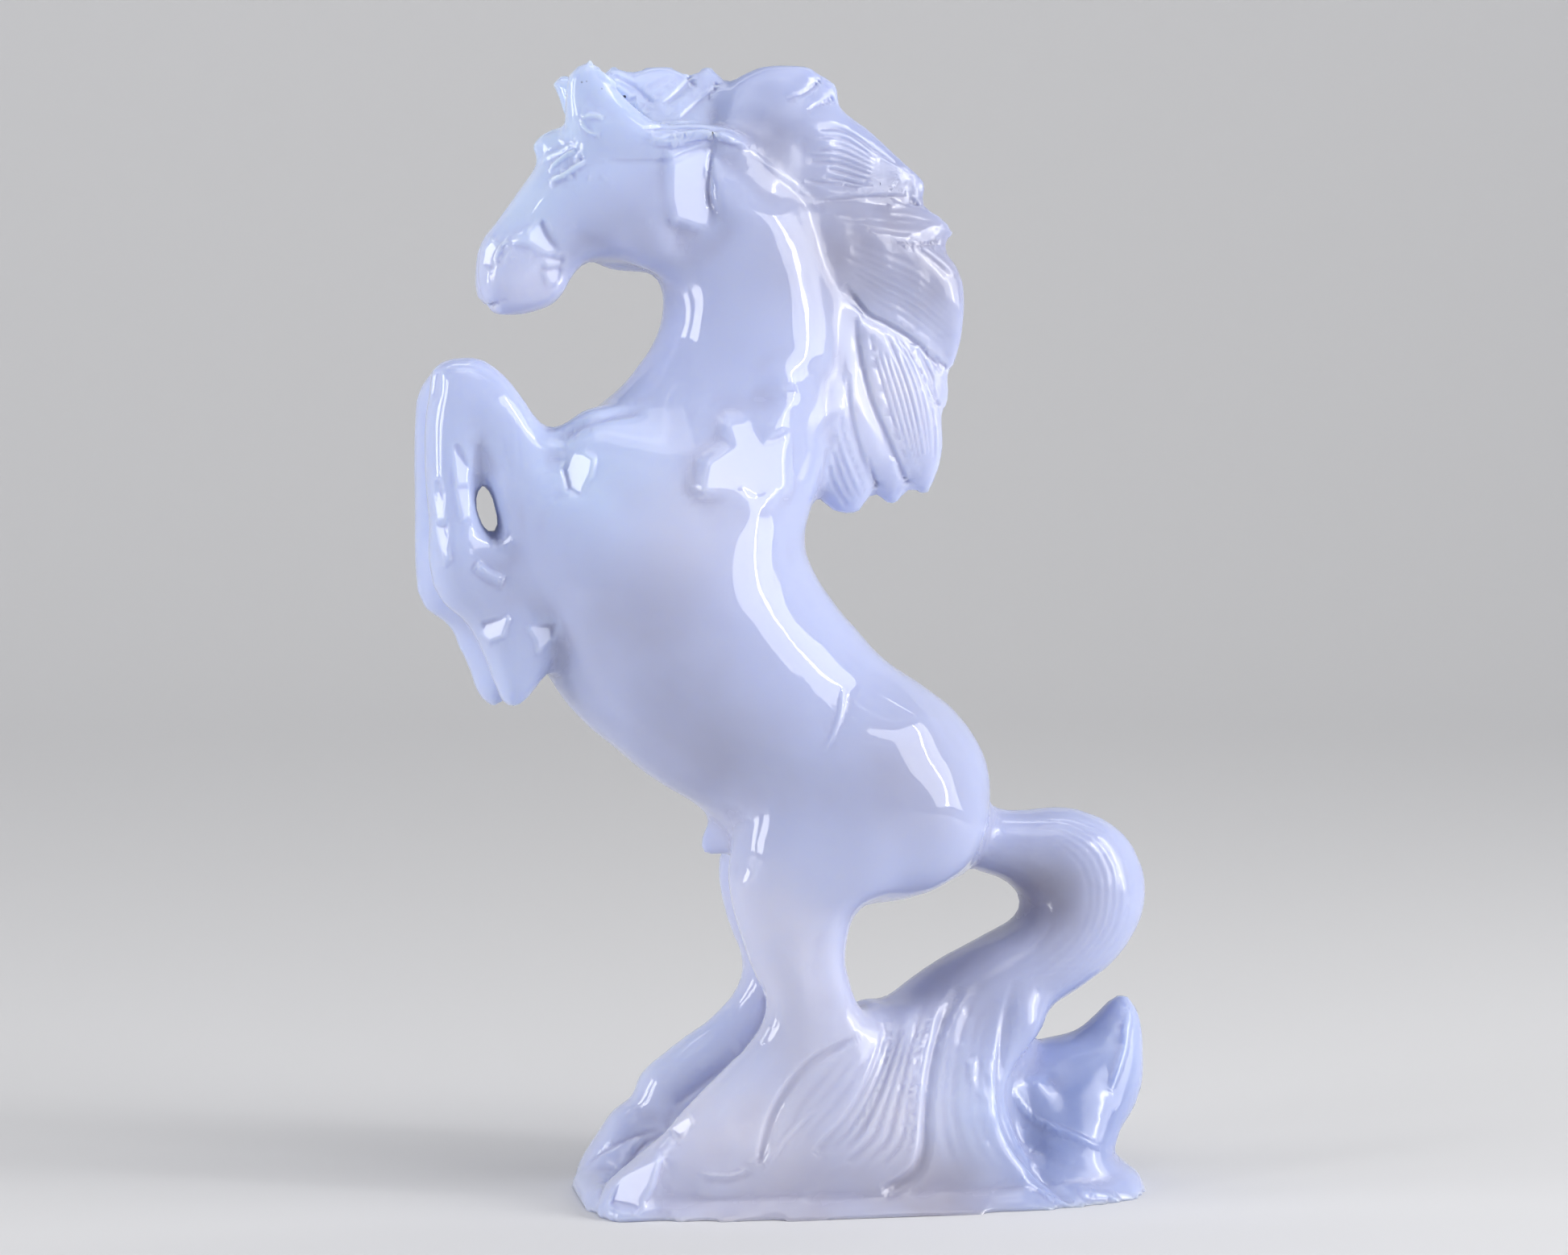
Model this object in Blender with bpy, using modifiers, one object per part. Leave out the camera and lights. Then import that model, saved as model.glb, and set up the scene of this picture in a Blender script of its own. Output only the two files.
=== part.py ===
"""A rearing horse and the ground it stands on, carved from one piece of pale chalcedony.

The horse faces -X and its near side is -Y. The origin is the middle of the flat underside, +Z is up, metres.
Every form is a loft through ribs. The forms are fused, eased, thinned and cut flat underneath.
"""

import math

import bmesh
import bpy
import numpy as np

# Sizes that can be set by themselves.
STATUE_HEIGHT = 0.1395
BASE_LENGTH = 0.0710
BASE_DEPTH = 0.0372
BASE_THICKNESS = 0.0038

# How finely the stone is carved.
RING_SIDES = 24
RING_STEP = 1.2
MUSCLE_CELL = STATUE_HEIGHT / 140
CARVING_CELL = STATUE_HEIGHT / 190
MUSCLE_ROUNDS = 12
CARVING_ROUNDS = 4
FACET_COUNT = 9700

# The ribs below are drawn at this height and scaled to STATUE_HEIGHT.
DRAWN_HEIGHT = 139.5
UNIT = STATUE_HEIGHT / DRAWN_HEIGHT

# A rib is the section of a form: one edge (x, z), the opposite edge (x, z), the middle's y and the half width in y.

TORSO = [
    (14, 43, 10, 39, 0, 9),
    (16, 47.5, 5, 36.5, 0, 13.5),
    (16, 54, -5.5, 36, 0, 16.5),
    (13, 59, -14.5, 40.5, 0, 17.5),
    (8.5, 63, -19, 47.5, 0, 17),
    (2.5, 67, -25.5, 51.5, 0, 16),
    (-2, 72, -31, 56, 0, 16),
    (-5.5, 77, -36, 60.5, 0, 16.5),
    (-7, 81.5, -39.5, 66, 0, 16.5),
    (-6, 85.5, -42, 74.5, 0, 16),
    (-4.5, 89, -42.5, 83, 0, 14.5),
    (-3.5, 93, -39.5, 90, 0, 12.5),
    (-2.5, 97, -34.8, 94.2, 0, 11),
]
NECK = [
    (-3.5, 92, -38.5, 92, 0, 11.5),
    (-2.5, 97, -35.4, 95.4, 0, 10.5),
    (-2, 101, -31.3, 98.5, 0, 9.8),
    (-1.5, 106, -27.8, 102.2, 0, 9.3),
    (-2.5, 112, -25, 107, 0, 9),
    (-4, 118, -24.3, 111.4, 0, 8.8),
    (-7, 123, -25, 115.2, 0, 8.5),
    (-11.5, 127, -27, 117.5, 0, 8),
    (-16.5, 129.5, -30, 120.5, 0, 7.5),
    (-21.5, 131, -32, 123.5, 0, 7),
]
HEAD = [
    (-25, 132, -19, 118.5, 0, 6),
    (-29, 132.5, -21.5, 116, 0, 7.2),
    (-33, 132, -26.5, 115.5, 0, 7.8),
    (-36.5, 130.5, -31, 116, 0, 7.8),
    (-39.5, 127.5, -33.3, 116.6, 0, 6.8),
    (-42.5, 123.5, -35.3, 115, 0, 5.8),
    (-45, 120, -37, 113.5, 0, 5.5),
    (-47, 117.8, -38, 112.3, 0, 5.8),
    (-47.6, 114.5, -41, 110.3, 0, 5.8),
    (-47.4, 111.6, -44.5, 109.6, 0, 4.8),
]
LOWER_JAW = [
    (-29, 119, -29, 115, 0, 5),
    (-34, 117.5, -33.8, 115.3, 0, 4.6),
    (-36.5, 115.5, -35.9, 113.2, 0, 4.3),
    (-38.5, 114, -37.5, 110.4, 0, 4.6),
    (-42, 112, -41, 109, 0, 4.6),
    (-45, 110.5, -44.5, 108.6, 0, 3.8),
]
CHEEK = [
    (-32.5, 123.5, -31, 117, -3.2, 3.6),
    (-30, 126, -29, 114.5, -3.4, 4.4),
    (-26.5, 127.5, -25, 113.5, -3.5, 4.9),
    (-23, 127.5, -21.5, 113.5, -3.5, 4.9),
    (-20, 126, -19, 115.5, -3.4, 4.4),
]
FAR_CHEEK = [
    (-33.5, 123.5, -33, 115.6, 3.2, 3.6),
    (-31, 126, -30.5, 114, 3.4, 4.4),
    (-27, 127.5, -26.5, 113.9, 3.5, 4.9),
    (-23, 127.5, -22, 114, 3.5, 4.9),
    (-20, 126, -19, 115.5, 3.4, 4.4),
]
NEAR_EAR = [
    (-35.5, 128, -22.5, 128.5, -3.4, 3.4),
    (-37, 131, -24, 130.5, -4.2, 3.8),
    (-37, 133, -27.5, 133, -4.8, 3.1),
    (-37, 135.5, -30.5, 135.5, -5.2, 2.5),
    (-36.9, 137.2, -31.8, 137.6, -5.5, 1.9),
    (-35.9, 138.3, -32.9, 138.8, -5.7, 1.2),
]
FAR_EAR = [
    (-34.8, 129, -26, 129.5, 3.6, 3.4),
    (-35.7, 132, -27, 132.5, 4.2, 3.2),
    (-36.4, 134.5, -29.5, 135, 4.8, 2.5),
    (-37.3, 136.5, -33, 137, 5.3, 2.1),
    (-37.4, 137.8, -35.3, 138.2, 5.6, 1.6),
]
FORELOCK = [
    (-30, 132.5, -31.5, 129, 0, 4.5),
    (-34.5, 131.7, -35, 128, 0, 4.2),
    (-37.5, 131.4, -37.5, 127.5, -0.2, 3.2),
    (-39.5, 130.5, -39.5, 127.6, -0.4, 2.1),
    (-40.4, 129.9, -40, 128.5, -0.5, 1.2),
]
TEMPLE_LOCK = [
    (-34.5, 130, -34.5, 127.5, -4.4, 2.6),
    (-30.5, 131, -30.5, 127, -4.7, 2.9),
    (-26, 131.5, -25.5, 127.5, -4.8, 2.9),
    (-21.5, 132, -21, 128.5, -4.8, 2.7),
    (-17.5, 131.5, -16.5, 128.5, -4.6, 2.4),
    (-14, 129.5, -14, 127, -4.6, 2),
    (-11, 126.5, -12, 124.5, -4.8, 1.6),
]

BREAST = [
    (-19.5, 95.5, -21.5, 78.5, -6, 7),
    (-27.5, 97, -28.5, 78.5, -6, 7.2),
    (-33.8, 98, -34, 79.5, -6, 6.4),
    (-37.8, 95.4, -37.2, 82.5, -6, 5),
]
SHOULDER = [
    (-10, 93.5, -18, 93.5, -6, 4.5),
    (-9.5, 90, -22.5, 88.5, -6.6, 7),
    (-11, 85, -25.5, 84.5, -7, 7.8),
    (-15, 80.5, -28.5, 78.5, -7.4, 7.8),
    (-22, 75.5, -30.5, 73, -7.4, 6),
]
FOREARM = [
    (-28, 89.5, -35, 68, -9, 6),
    (-33.5, 92.5, -39, 72, -7.8, 5.4),
    (-38.8, 94, -44, 79.5, -6.6, 5),
    (-42.3, 99.3, -46.5, 88, -6, 4.7),
    (-45.2, 102.5, -48.5, 92.5, -5.7, 4.6),
    (-48, 104, -52, 96.5, -5.5, 4.3),
    (-51, 103.5, -53.5, 100, -5.5, 3.8),
]
KNEE_WEB = [
    (-50.5, 100, -45, 100, -3.4, 4.5),
    (-51, 95, -44.5, 96, -3.4, 4.6),
    (-50.5, 91, -43, 91.5, -3.2, 4.2),
    (-50, 90, -43.5, 90.4, -3.2, 3.2),
]
NEAR_FORELEG = [
    (-52, 101.5, -47, 102, -5.5, 4),
    (-53.5, 99.5, -45.5, 99, -5.5, 4.5),
    (-54, 95, -47, 93.5, -5.5, 4.5),
    (-54, 89.5, -48, 88, -5.5, 4.4),
    (-53.5, 83.5, -47, 83, -5.5, 4.4),
    (-53.7, 78.2, -42.7, 79.4, -5.5, 4.6),
    (-52.3, 74.2, -40, 77.8, -5.6, 4.7),
    (-49.5, 72, -37.5, 74, -5.7, 4.5),
    (-48, 69.5, -37.5, 70.5, -5.8, 4.6),
    (-46.5, 66, -39, 66.5, -5.8, 4.2),
    (-45.3, 63, -41.4, 63, -5.8, 3.4),
    (-44.5, 61.3, -43.1, 61.6, -5.8, 2.4),
]
FAR_FORELEG = [
    (-52, 102, -46, 102, 4.8, 4),
    (-54, 99.5, -45.5, 99, 4.8, 4.5),
    (-54.5, 95, -47.5, 93.5, 4.8, 4.5),
    (-54.5, 89, -48.5, 88, 4.8, 4.4),
    (-54.5, 83.5, -47, 82.5, 4.8, 4.4),
    (-54.5, 77.8, -42, 79.2, 4.8, 4.6),
    (-53.7, 73.3, -39, 77.4, 4.8, 4.7),
    (-50.5, 71, -37, 73.5, 4.8, 4.5),
    (-49.5, 68.5, -37, 69.5, 4.8, 4.6),
    (-48, 65.5, -39.5, 66, 4.8, 4.2),
    (-47, 62.6, -41.5, 63, 4.8, 3.4),
    (-46, 61.2, -44, 61.2, 4.8, 2.4),
]
SHIN_WEB = [
    (-51, 100.5, -47, 100.5, -0.3, 4),
    (-52, 94, -49, 94, -0.3, 4),
    (-52, 84, -49, 84, -0.3, 4),
    (-51, 77.4, -42.6, 78.8, -0.3, 4),
    (-48.5, 73, -39, 74.5, -0.3, 4),
    (-46.5, 69, -39, 69.5, -0.3, 4),
    (-45, 65.5, -41.5, 66, -0.3, 3),
]
BREAST_WEB = [
    (-42.5, 81.5, -36, 81.5, 0, 8),
    (-41.5, 78.5, -35, 78.5, 0, 8.5),
    (-40.5, 73.5, -34, 74, 0, 8.8),
    (-39, 69.5, -33.5, 70, 0, 8.5),
]

NEAR_THIGH = [
    (-4, 61, 10, 56, -8, 7),
    (-12, 53, 12, 50.5, -8.8, 8.3),
    (-17, 46.5, 10, 44.5, -9.1, 8.6),
    (-18, 41.5, 4, 39, -9.1, 8),
    (-17.5, 37, -1.5, 37, -9, 6.8),
    (-16, 32.5, -3, 32.5, -8.8, 5.8),
    (-14.5, 28.5, -3, 28.5, -8.8, 5.3),
    (-13, 25, -2, 25, -8.8, 5.4),
]
NEAR_HOCK = [
    (-14.5, 29, -3, 29, -8.8, 5.3),
    (-13, 25, -2, 25, -8.8, 5.5),
    (-14.5, 21, 0.5, 20, -8.8, 5.4),
    (-18, 17.5, -5.5, 12, -9, 5),
    (-22, 13.5, -10.5, 8, -9.2, 4.9),
    (-24.5, 11, -14.5, 6, -9.4, 5.2),
    (-25.5, 9, -18.5, 4, -9.6, 5),
    (-24.5, 7, -21.5, 4.5, -9.6, 3.6),
]
NEAR_HOOF = [
    (-23, 10.5, -20, 3, -9.5, 4.5),
    (-26.5, 9, -23, 1, -9.8, 5.2),
    (-29.5, 6.5, -27, -1, -10, 6),
    (-32.5, 4, -29, -2.5, -10, 6.2),
    (-34, 1.5, -31.5, -2.5, -10, 5),
]
FAR_HIND_LEG = [
    (-5, 47, 11.5, 41.5, 9, 8.5),
    (-15.5, 42.5, 6.5, 39, 8.8, 8),
    (-16.5, 39, 0, 36, 8.6, 6.5),
    (-15.5, 33.5, -2, 32, 8.4, 5.6),
    (-13.4, 28.5, -3, 28, 8.2, 5.2),
    (-13.6, 25, -3, 23, 8.2, 5.3),
    (-17.6, 20.5, -5, 16.5, 8.2, 5),
    (-23.2, 16.6, -11.5, 11.5, 8.2, 4.8),
    (-26.7, 13.8, -16.5, 7, 8.2, 5),
    (-27.2, 11, -21, 4.5, 8.2, 4.8),
]
FAR_HOOF = [
    (-25, 9.5, -21.5, 3.5, 8.2, 4.5),
    (-28.8, 10.2, -25.5, 2, 8.2, 5.2),
    (-31.5, 6.5, -29.5, -1, 8.2, 5.8),
    (-34, 2.5, -32, -2.5, 8.2, 5.8),
    (-34.5, 0, -33.5, -2.5, 8.2, 4.8),
]
HOCK_WEB = [
    (-0.5, 21.5, 3.5, 17.5, 0, 8.5),
    (-6.5, 14.5, -0.5, 9.5, 0.8, 8.6),
    (-13, 9.5, -7.5, 2.5, 2, 9.6),
    (-21, 6, -16, -1, 3, 9),
]
SHEATH = [
    (-16, 48.5, -13.5, 43.5, 0, 4),
    (-18.5, 46.5, -16, 42.5, 0, 3),
    (-20, 44, -18, 42, 0, 2.2),
]

TAIL = [
    (14, 49.5, 12, 42.5, 0, 5),
    (17, 47.5, 14.5, 40, 0, 5.5),
    (21.5, 47, 18.5, 38.5, 0, 6),
    (27, 47.5, 20.5, 36.5, 0, 6.5),
    (33, 45, 21, 35.5, 0, 7),
    (36.5, 39.5, 20, 33, 0, 7.3),
    (36.5, 34.4, 18, 32, 0, 7.5),
    (33.7, 29, 13.5, 30, 0, 7.8),
    (28.7, 25, 9.3, 27.8, 0, 8.2),
    (24.2, 22.5, 4.8, 24.6, 0, 8.8),
]
TAIL_ROOT = [
    (23.6, 22.6, 8, 25, 0, 8.2),
    (22.7, 20.3, 3.5, 22.8, 0, 9.4),
    (21, 17, 2, 16.5, 0, 11),
    (19.5, 11, 0, 11.5, 0, 12),
    (21, 4, -5.5, 4.5, 0, 13.5),
    (24.5, -2.5, -11.5, -1, 0, 14.5),
]
LEAF_LOCK = [
    (-1.5, 22.8, 3.2, 23.3, -3.2, 6),
    (-4, 20, 1.5, 19.5, -5.5, 7.2),
    (-8, 16, -0.5, 14, -7, 7.8),
    (-11.5, 11, -4, 9.5, -8, 7.6),
    (-15.5, 6.5, -7, 6, -8.6, 7.4),
    (-19, 2.5, -10, 1.5, -9.2, 7.4),
]
TAIL_FALL = [
    (2.4, 22.8, 13, 25, -2.8, 6.8),
    (1.5, 18.5, 9, 19, -5.2, 7.9),
    (0, 14.5, 8, 14.5, -6.4, 8.3),
    (-3.5, 9.5, 7.5, 9, -7.6, 8.1),
    (-9, 5, 6.5, 4.5, -8.8, 8),
    (-14, 1, 4, 0.5, -9.4, 8.2),
]
TAIL_WAVE = [
    (15, 25.5, 24, 23.3, -2.5, 6.5),
    (12.8, 21.6, 22, 20, -4, 7.6),
    (11, 18, 18.8, 17, -5.2, 8.3),
    (8.5, 13.5, 16.5, 13.5, -6.8, 9.2),
    (9, 8, 18, 7.5, -8, 9.3),
    (11.5, 2, 22, 2, -8.8, 9),
    (16, -2.5, 27, -2, -9.4, 8.6),
]
CURL = [
    (18, -3.5, 36.5, -3.5, 0, 13),
    (17.5, -1, 36.4, -1, -0.4, 15),
    (18, 3, 33.9, 2.2, -0.8, 13.6),
    (19, 7, 31.9, 5.4, -1, 11.8),
    (19.5, 11.5, 35, 9.2, -0.4, 10),
    (21.6, 17.2, 36.8, 12.8, 0.5, 7.6),
    (28.2, 18.7, 36.8, 16.8, 1.1, 5.2),
    (31.5, 21.3, 36.7, 19.8, 1.3, 3.6),
    (32.8, 22.6, 35.9, 22.2, 1.4, 2.7),
]
CURL_FOLD = [
    (19.5, 14, 22, 14.5, -5, 5.2),
    (20.5, 9.5, 24, 11.5, -6, 5.4),
    (25.5, 6, 28, 9, -6, 5),
    (31, 5.5, 32, 7.5, -5, 4),
]

# The mane's locks, from the poll back and down.
MANE = [
    [(-27, 130.5, -15.5, 129.5, 2.5, 4.5), (-29, 134.5, -17.5, 134, 3, 3.6), (-30.5, 136.7, -19.9, 137, 3.2, 2.8),
     (-28.4, 137.9, -21, 138.6, 3.2, 1.9)],
    [(-32, 134.5, -27, 134.5, 3.2, 3), (-31.6, 137.2, -28.4, 137.2, 3.4, 2.6), (-31.2, 138.8, -28.9, 138.8, 3.4, 2)],
    [(-22, 133.5, -15.5, 133.5, 3, 3), (-20.1, 136.8, -17, 136, 3, 2.3), (-19.4, 139, -17.2, 138.8, 3, 1.6)],
    [(-18.8, 132, -13.5, 127, 1.5, 5), (-16.7, 136.6, -10, 131.5, 2, 4.4), (-12, 139.4, -7.5, 134, 2, 3.6),
     (-6.5, 139.6, -4.8, 136.6, 2, 2.2)],
    [(-13.5, 134.4, -8, 130, 2, 4), (-7, 137.2, -3.1, 133.4, 2.2, 3), (-3.6, 138, -2.2, 136, 2.2, 1.8)],
    [(-16, 131, -8, 123.5, 1, 6), (-8, 136.4, -3.5, 123, 1.5, 5), (-0.4, 133.2, 2.5, 122.4, 1.8, 4),
     (5.2, 128.6, 5.6, 122.8, 2, 3), (8.5, 125.5, 9, 123.9, 2, 2)],
    [(-8, 124.5, -3, 118, 1, 5.5), (-0.5, 124.5, 0, 118, 1.4, 4.6), (6.4, 122.7, 6, 118, 1.6, 3.4),
     (10, 121.6, 9.5, 118.2, 1.8, 2.6), (12.2, 119.9, 11.8, 118.3, 1.8, 1.7)],
    [(-6, 122.5, -1.5, 111, 0.5, 6), (1, 122.5, 2, 110.5, 0.8, 5.2), (8.4, 118.4, 6.5, 108, 1, 4.2),
     (12.3, 115.8, 10, 104.5, 1.2, 3.3), (13.7, 111, 11.8, 103, 1.4, 2.4), (12.9, 104.2, 11.8, 102.4, 1.4, 1.6)],
    [(2.5, 113, 2, 107, 1.5, 4), (8, 109, 6.5, 103.5, 1.5, 3.2), (11, 103, 9, 99, 1.6, 2.2),
     (12.1, 99.2, 10.8, 97.4, 1.6, 1.4)],
    [(-3, 114, -3, 101, 0.5, 4.8), (2.5, 110.5, 0, 98, 0.8, 5.2), (7, 105.5, 3, 92.5, 1, 4.8),
     (10, 99.5, 5.5, 88.5, 1.2, 3.8), (11, 92.5, 7.5, 87, 1.3, 2.6), (9.5, 88, 8.5, 86.5, 1.3, 1.4)],
    [(-1, 105, -2.5, 95, 0.5, 5.6), (2, 98, -0.5, 90.5, 0.8, 4.8), (5.2, 91, 2.8, 87.6, 1, 3.2),
     (5.7, 87.2, 3.6, 85.1, 1, 1.7)],
    [(-2, 103, -4.5, 92, 0, 6), (0.5, 95, -5, 88, 0.4, 5), (2.2, 88.8, -4, 85.2, 0.6, 3.4),
     (0.8, 85.4, -1.6, 84.3, 0.6, 1.6)],
]

# The strands of the tail's fall, each from one share of its width to another. Its far side is plainer.
NEAR_STRANDS = [(0, 0.42), (0.32, 0.72), (0.6, 1)]
FAR_STRANDS = [(0, 0.56), (0.44, 1)]
FAR_SIDE_DROP = -1.2


def mirrored(ribs, forward=0.0, up=0.0):
    """The same form on the other side of the body, moved a little if asked."""
    return [(ax + forward, az + up, bx + forward, bz + up, -y, half) for ax, az, bx, bz, y, half in ribs]


def strand(ribs, start, end):
    """The slice of a form between two shares of its width."""
    slices = []
    for ax, az, bx, bz, y, half in ribs:
        near = (ax + (bx - ax) * start, az + (bz - az) * start)
        far = (ax + (bx - ax) * end, az + (bz - az) * end)
        slices.append((*near, *far, y, half))
    return slices


def base_ribs():
    """The ground: a slab with an oval plan, deep enough to be cut flat underneath."""
    half_length = BASE_LENGTH / UNIT / 2
    half_depth = BASE_DEPTH / UNIT / 2
    top = BASE_THICKNESS / UNIT
    ribs = []
    for turn in np.linspace(-84, 84, 15):
        x = half_length * math.sin(math.radians(turn))
        half = half_depth * math.cos(math.radians(turn)) ** 0.4
        rim = top * math.cos(math.radians(turn)) ** 0.3
        ribs.append((x, rim, x, -top, 0, half))
    return ribs


def rows_along(ribs):
    """Rows on a smooth curve through the ribs, about RING_STEP apart."""
    rows = np.asarray(ribs, float)
    padded = np.vstack([2 * rows[0] - rows[1], rows, 2 * rows[-1] - rows[-2]])
    smooth = []
    for k in range(len(rows) - 1):
        p0, p1, p2, p3 = padded[k:k + 4]
        gap = np.linalg.norm((p2 - p1)[:4]) / 2
        count = max(2, math.ceil(gap / RING_STEP))
        for t in np.arange(count) / count:
            curve = 2 * p1 + (p2 - p0) * t
            curve += (2 * p0 - 5 * p1 + 4 * p2 - p3) * t**2
            curve += (3 * p1 - p0 - 3 * p2 + p3) * t**3
            smooth.append(curve / 2)
    smooth.append(rows[-1])
    return np.array(smooth)


def frames_of(rows):
    """Each row's middle, its half vector across and its half vector in y."""
    zero = rows[:, 0] * 0
    middle = np.stack([(rows[:, 0] + rows[:, 2]) / 2, rows[:, 4], (rows[:, 1] + rows[:, 3]) / 2], 1)
    across = np.stack([(rows[:, 0] - rows[:, 2]) / 2, zero, (rows[:, 1] - rows[:, 3]) / 2], 1)
    inward = np.stack([zero, np.maximum(rows[:, 5], 0.3), zero], 1)
    return middle, across, inward


def cap_rings(middle, across, inward, end, neighbour, roundness):
    """Three shrinking rings that round off one end of a loft, the widest first."""
    heading = middle[end] - middle[neighbour]
    heading -= across[end] * (heading @ across[end]) / (across[end] @ across[end] + 1e-9)
    heading /= np.linalg.norm(heading) + 1e-9
    reach = roundness * min(np.linalg.norm(across[end]), np.linalg.norm(inward[end]))
    rings = []
    for turn in (30, 60, 80):
        shrink = math.cos(math.radians(turn))
        moved = middle[end] + heading * reach * math.sin(math.radians(turn))
        rings.append((moved, across[end] * shrink, inward[end] * shrink))
    return rings


def loft(ribs, roundness=0.6, squareness=2.0):
    """Points in metres and faces of the form that runs through the ribs, closed with rounded ends."""
    middle, across, inward = frames_of(rows_along(ribs))
    body = list(zip(middle, across, inward))
    start = cap_rings(middle, across, inward, 0, 1, roundness)
    finish = cap_rings(middle, across, inward, -1, -2, roundness)
    turns = np.arange(RING_SIDES) * 2 * math.pi / RING_SIDES
    wide = np.sign(np.cos(turns)) * np.abs(np.cos(turns)) ** (2 / squareness)
    deep = np.sign(np.sin(turns)) * np.abs(np.sin(turns)) ** (2 / squareness)
    rings = [m + wide[:, None] * a + deep[:, None] * i for m, a, i in start[::-1] + body + finish]
    faces = []
    for r in range(len(rings) - 1):
        for s in range(RING_SIDES):
            a = r * RING_SIDES + s
            b = r * RING_SIDES + (s + 1) % RING_SIDES
            faces.append((a, b, b + RING_SIDES, a + RING_SIDES))
    last = (len(rings) - 1) * RING_SIDES
    faces.append(tuple(reversed(range(RING_SIDES))))
    faces.append(tuple(range(last, last + RING_SIDES)))
    return np.concatenate(rings) * UNIT, faces


def shape_of(obj):
    """An object's points and faces, so that it can be joined with lofts."""
    points = np.array([vertex.co[:] for vertex in obj.data.vertices])
    return points, [tuple(polygon.vertices) for polygon in obj.data.polygons]


def object_from(name, shapes):
    """One mesh object made of several closed shapes, all facing outward."""
    points = []
    faces = []
    for shape_points, shape_faces in shapes:
        faces += [tuple(corner + len(points) for corner in face) for face in shape_faces]
        points += shape_points.tolist()
    mesh = bpy.data.meshes.new(name)
    mesh.from_pydata(points, [], faces)
    shell = bmesh.new()
    shell.from_mesh(mesh)
    bmesh.ops.recalc_face_normals(shell, faces=shell.faces)
    shell.to_mesh(mesh)
    shell.free()
    obj = bpy.data.objects.new(name, mesh)
    bpy.context.scene.collection.objects.link(obj)
    return obj


def apply_modifiers(obj):
    graph = bpy.context.evaluated_depsgraph_get()
    obj.data = bpy.data.meshes.new_from_object(obj.evaluated_get(graph))
    obj.modifiers.clear()


def fuse(obj, cell, rounds):
    """Turns overlapping shapes into one skin and eases its creases."""
    remesh = obj.modifiers.new("Fuse", "REMESH")
    remesh.mode = "VOXEL"
    remesh.voxel_size = cell
    ease = obj.modifiers.new("Ease", "SMOOTH")
    ease.factor = 0.5
    ease.iterations = rounds
    apply_modifiers(obj)


def keep_largest_shell(shell):
    """Drops any crumb of stone that touches nothing else."""
    left = set(shell.verts)
    groups = []
    while left:
        group = {left.pop()}
        edge = list(group)
        while edge:
            vertex = edge.pop()
            found = {e.other_vert(vertex) for e in vertex.link_edges} - group
            group |= found
            edge += found
        left -= group
        groups.append(group)
    crumbs = set(shell.verts) - max(groups, key=len)
    bmesh.ops.delete(shell, geom=list(crumbs), context="VERTS")


def saw_off_underneath(obj):
    """Saws the stone off at z = 0 and leaves the cut open."""
    shell = bmesh.new()
    shell.from_mesh(obj.data)
    keep_largest_shell(shell)
    everything = shell.verts[:] + shell.edges[:] + shell.faces[:]
    bmesh.ops.bisect_plane(shell, geom=everything, dist=CARVING_CELL / 20, plane_co=(0, 0, 0), plane_no=(0, 0, 1),
                           clear_inner=True)
    shell.to_mesh(obj.data)
    shell.free()


def thin(obj, count):
    """Keeps about count facets, more of them where the form turns."""
    thinning = obj.modifiers.new("Thin", "DECIMATE")
    thinning.ratio = count / sum(len(polygon.vertices) - 2 for polygon in obj.data.polygons)
    thinning.use_collapse_triangulate = True
    apply_modifiers(obj)


def close_underneath(obj):
    """Lays the rim of the cut flat on z = 0 and closes it."""
    shell = bmesh.new()
    shell.from_mesh(obj.data)
    rim = [edge for edge in shell.edges if edge.is_boundary]
    for edge in rim:
        for vertex in edge.verts:
            vertex.co.z = 0
    bmesh.ops.holes_fill(shell, edges=rim, sides=0)
    bmesh.ops.triangulate(shell, faces=shell.faces[:])
    bmesh.ops.recalc_face_normals(shell, faces=shell.faces)
    shell.to_mesh(obj.data)
    shell.free()


def chalcedony():
    """Pale, faintly blue translucent stone with a high polish."""
    material = bpy.data.materials.new("Pale chalcedony")
    material.use_nodes = True
    shader = material.node_tree.nodes["Principled BSDF"]
    shader.inputs["Base Color"].default_value = (0.78, 0.80, 0.92, 1)
    shader.inputs["Roughness"].default_value = 0.12
    shader.inputs["Metallic"].default_value = 0.0
    shader.inputs["Subsurface Weight"].default_value = 0.4
    shader.inputs["Subsurface Scale"].default_value = 0.01
    return material


def muscle_forms():
    """The big soft forms, which run into one another."""
    return [
        TORSO,
        NECK,
        HEAD,
        CHEEK,
        FAR_CHEEK,
        BREAST,
        mirrored(BREAST, 0.5, -1.5),
        SHOULDER,
        mirrored(SHOULDER),
        FOREARM,
        mirrored(FOREARM, 1.0),
        NEAR_THIGH,
        FAR_HIND_LEG,
    ]


def carved_forms():
    """The forms that keep their edges."""
    forms = [LOWER_JAW, NEAR_EAR, FAR_EAR, FORELOCK, TEMPLE_LOCK]
    forms += [NEAR_FORELEG, FAR_FORELEG, KNEE_WEB, mirrored(KNEE_WEB), SHIN_WEB, BREAST_WEB]
    forms += [NEAR_HOCK, NEAR_HOOF, FAR_HOOF, HOCK_WEB, SHEATH]
    forms += [TAIL, TAIL_ROOT, TAIL_WAVE, CURL, CURL_FOLD]
    forms += MANE
    forms += [LEAF_LOCK, mirrored(LEAF_LOCK, up=FAR_SIDE_DROP)]
    forms += [strand(TAIL_FALL, start, end) for start, end in NEAR_STRANDS]
    far_fall = mirrored(TAIL_FALL, up=FAR_SIDE_DROP)
    forms += [strand(far_fall, start, end) for start, end in FAR_STRANDS]
    return forms


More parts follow.
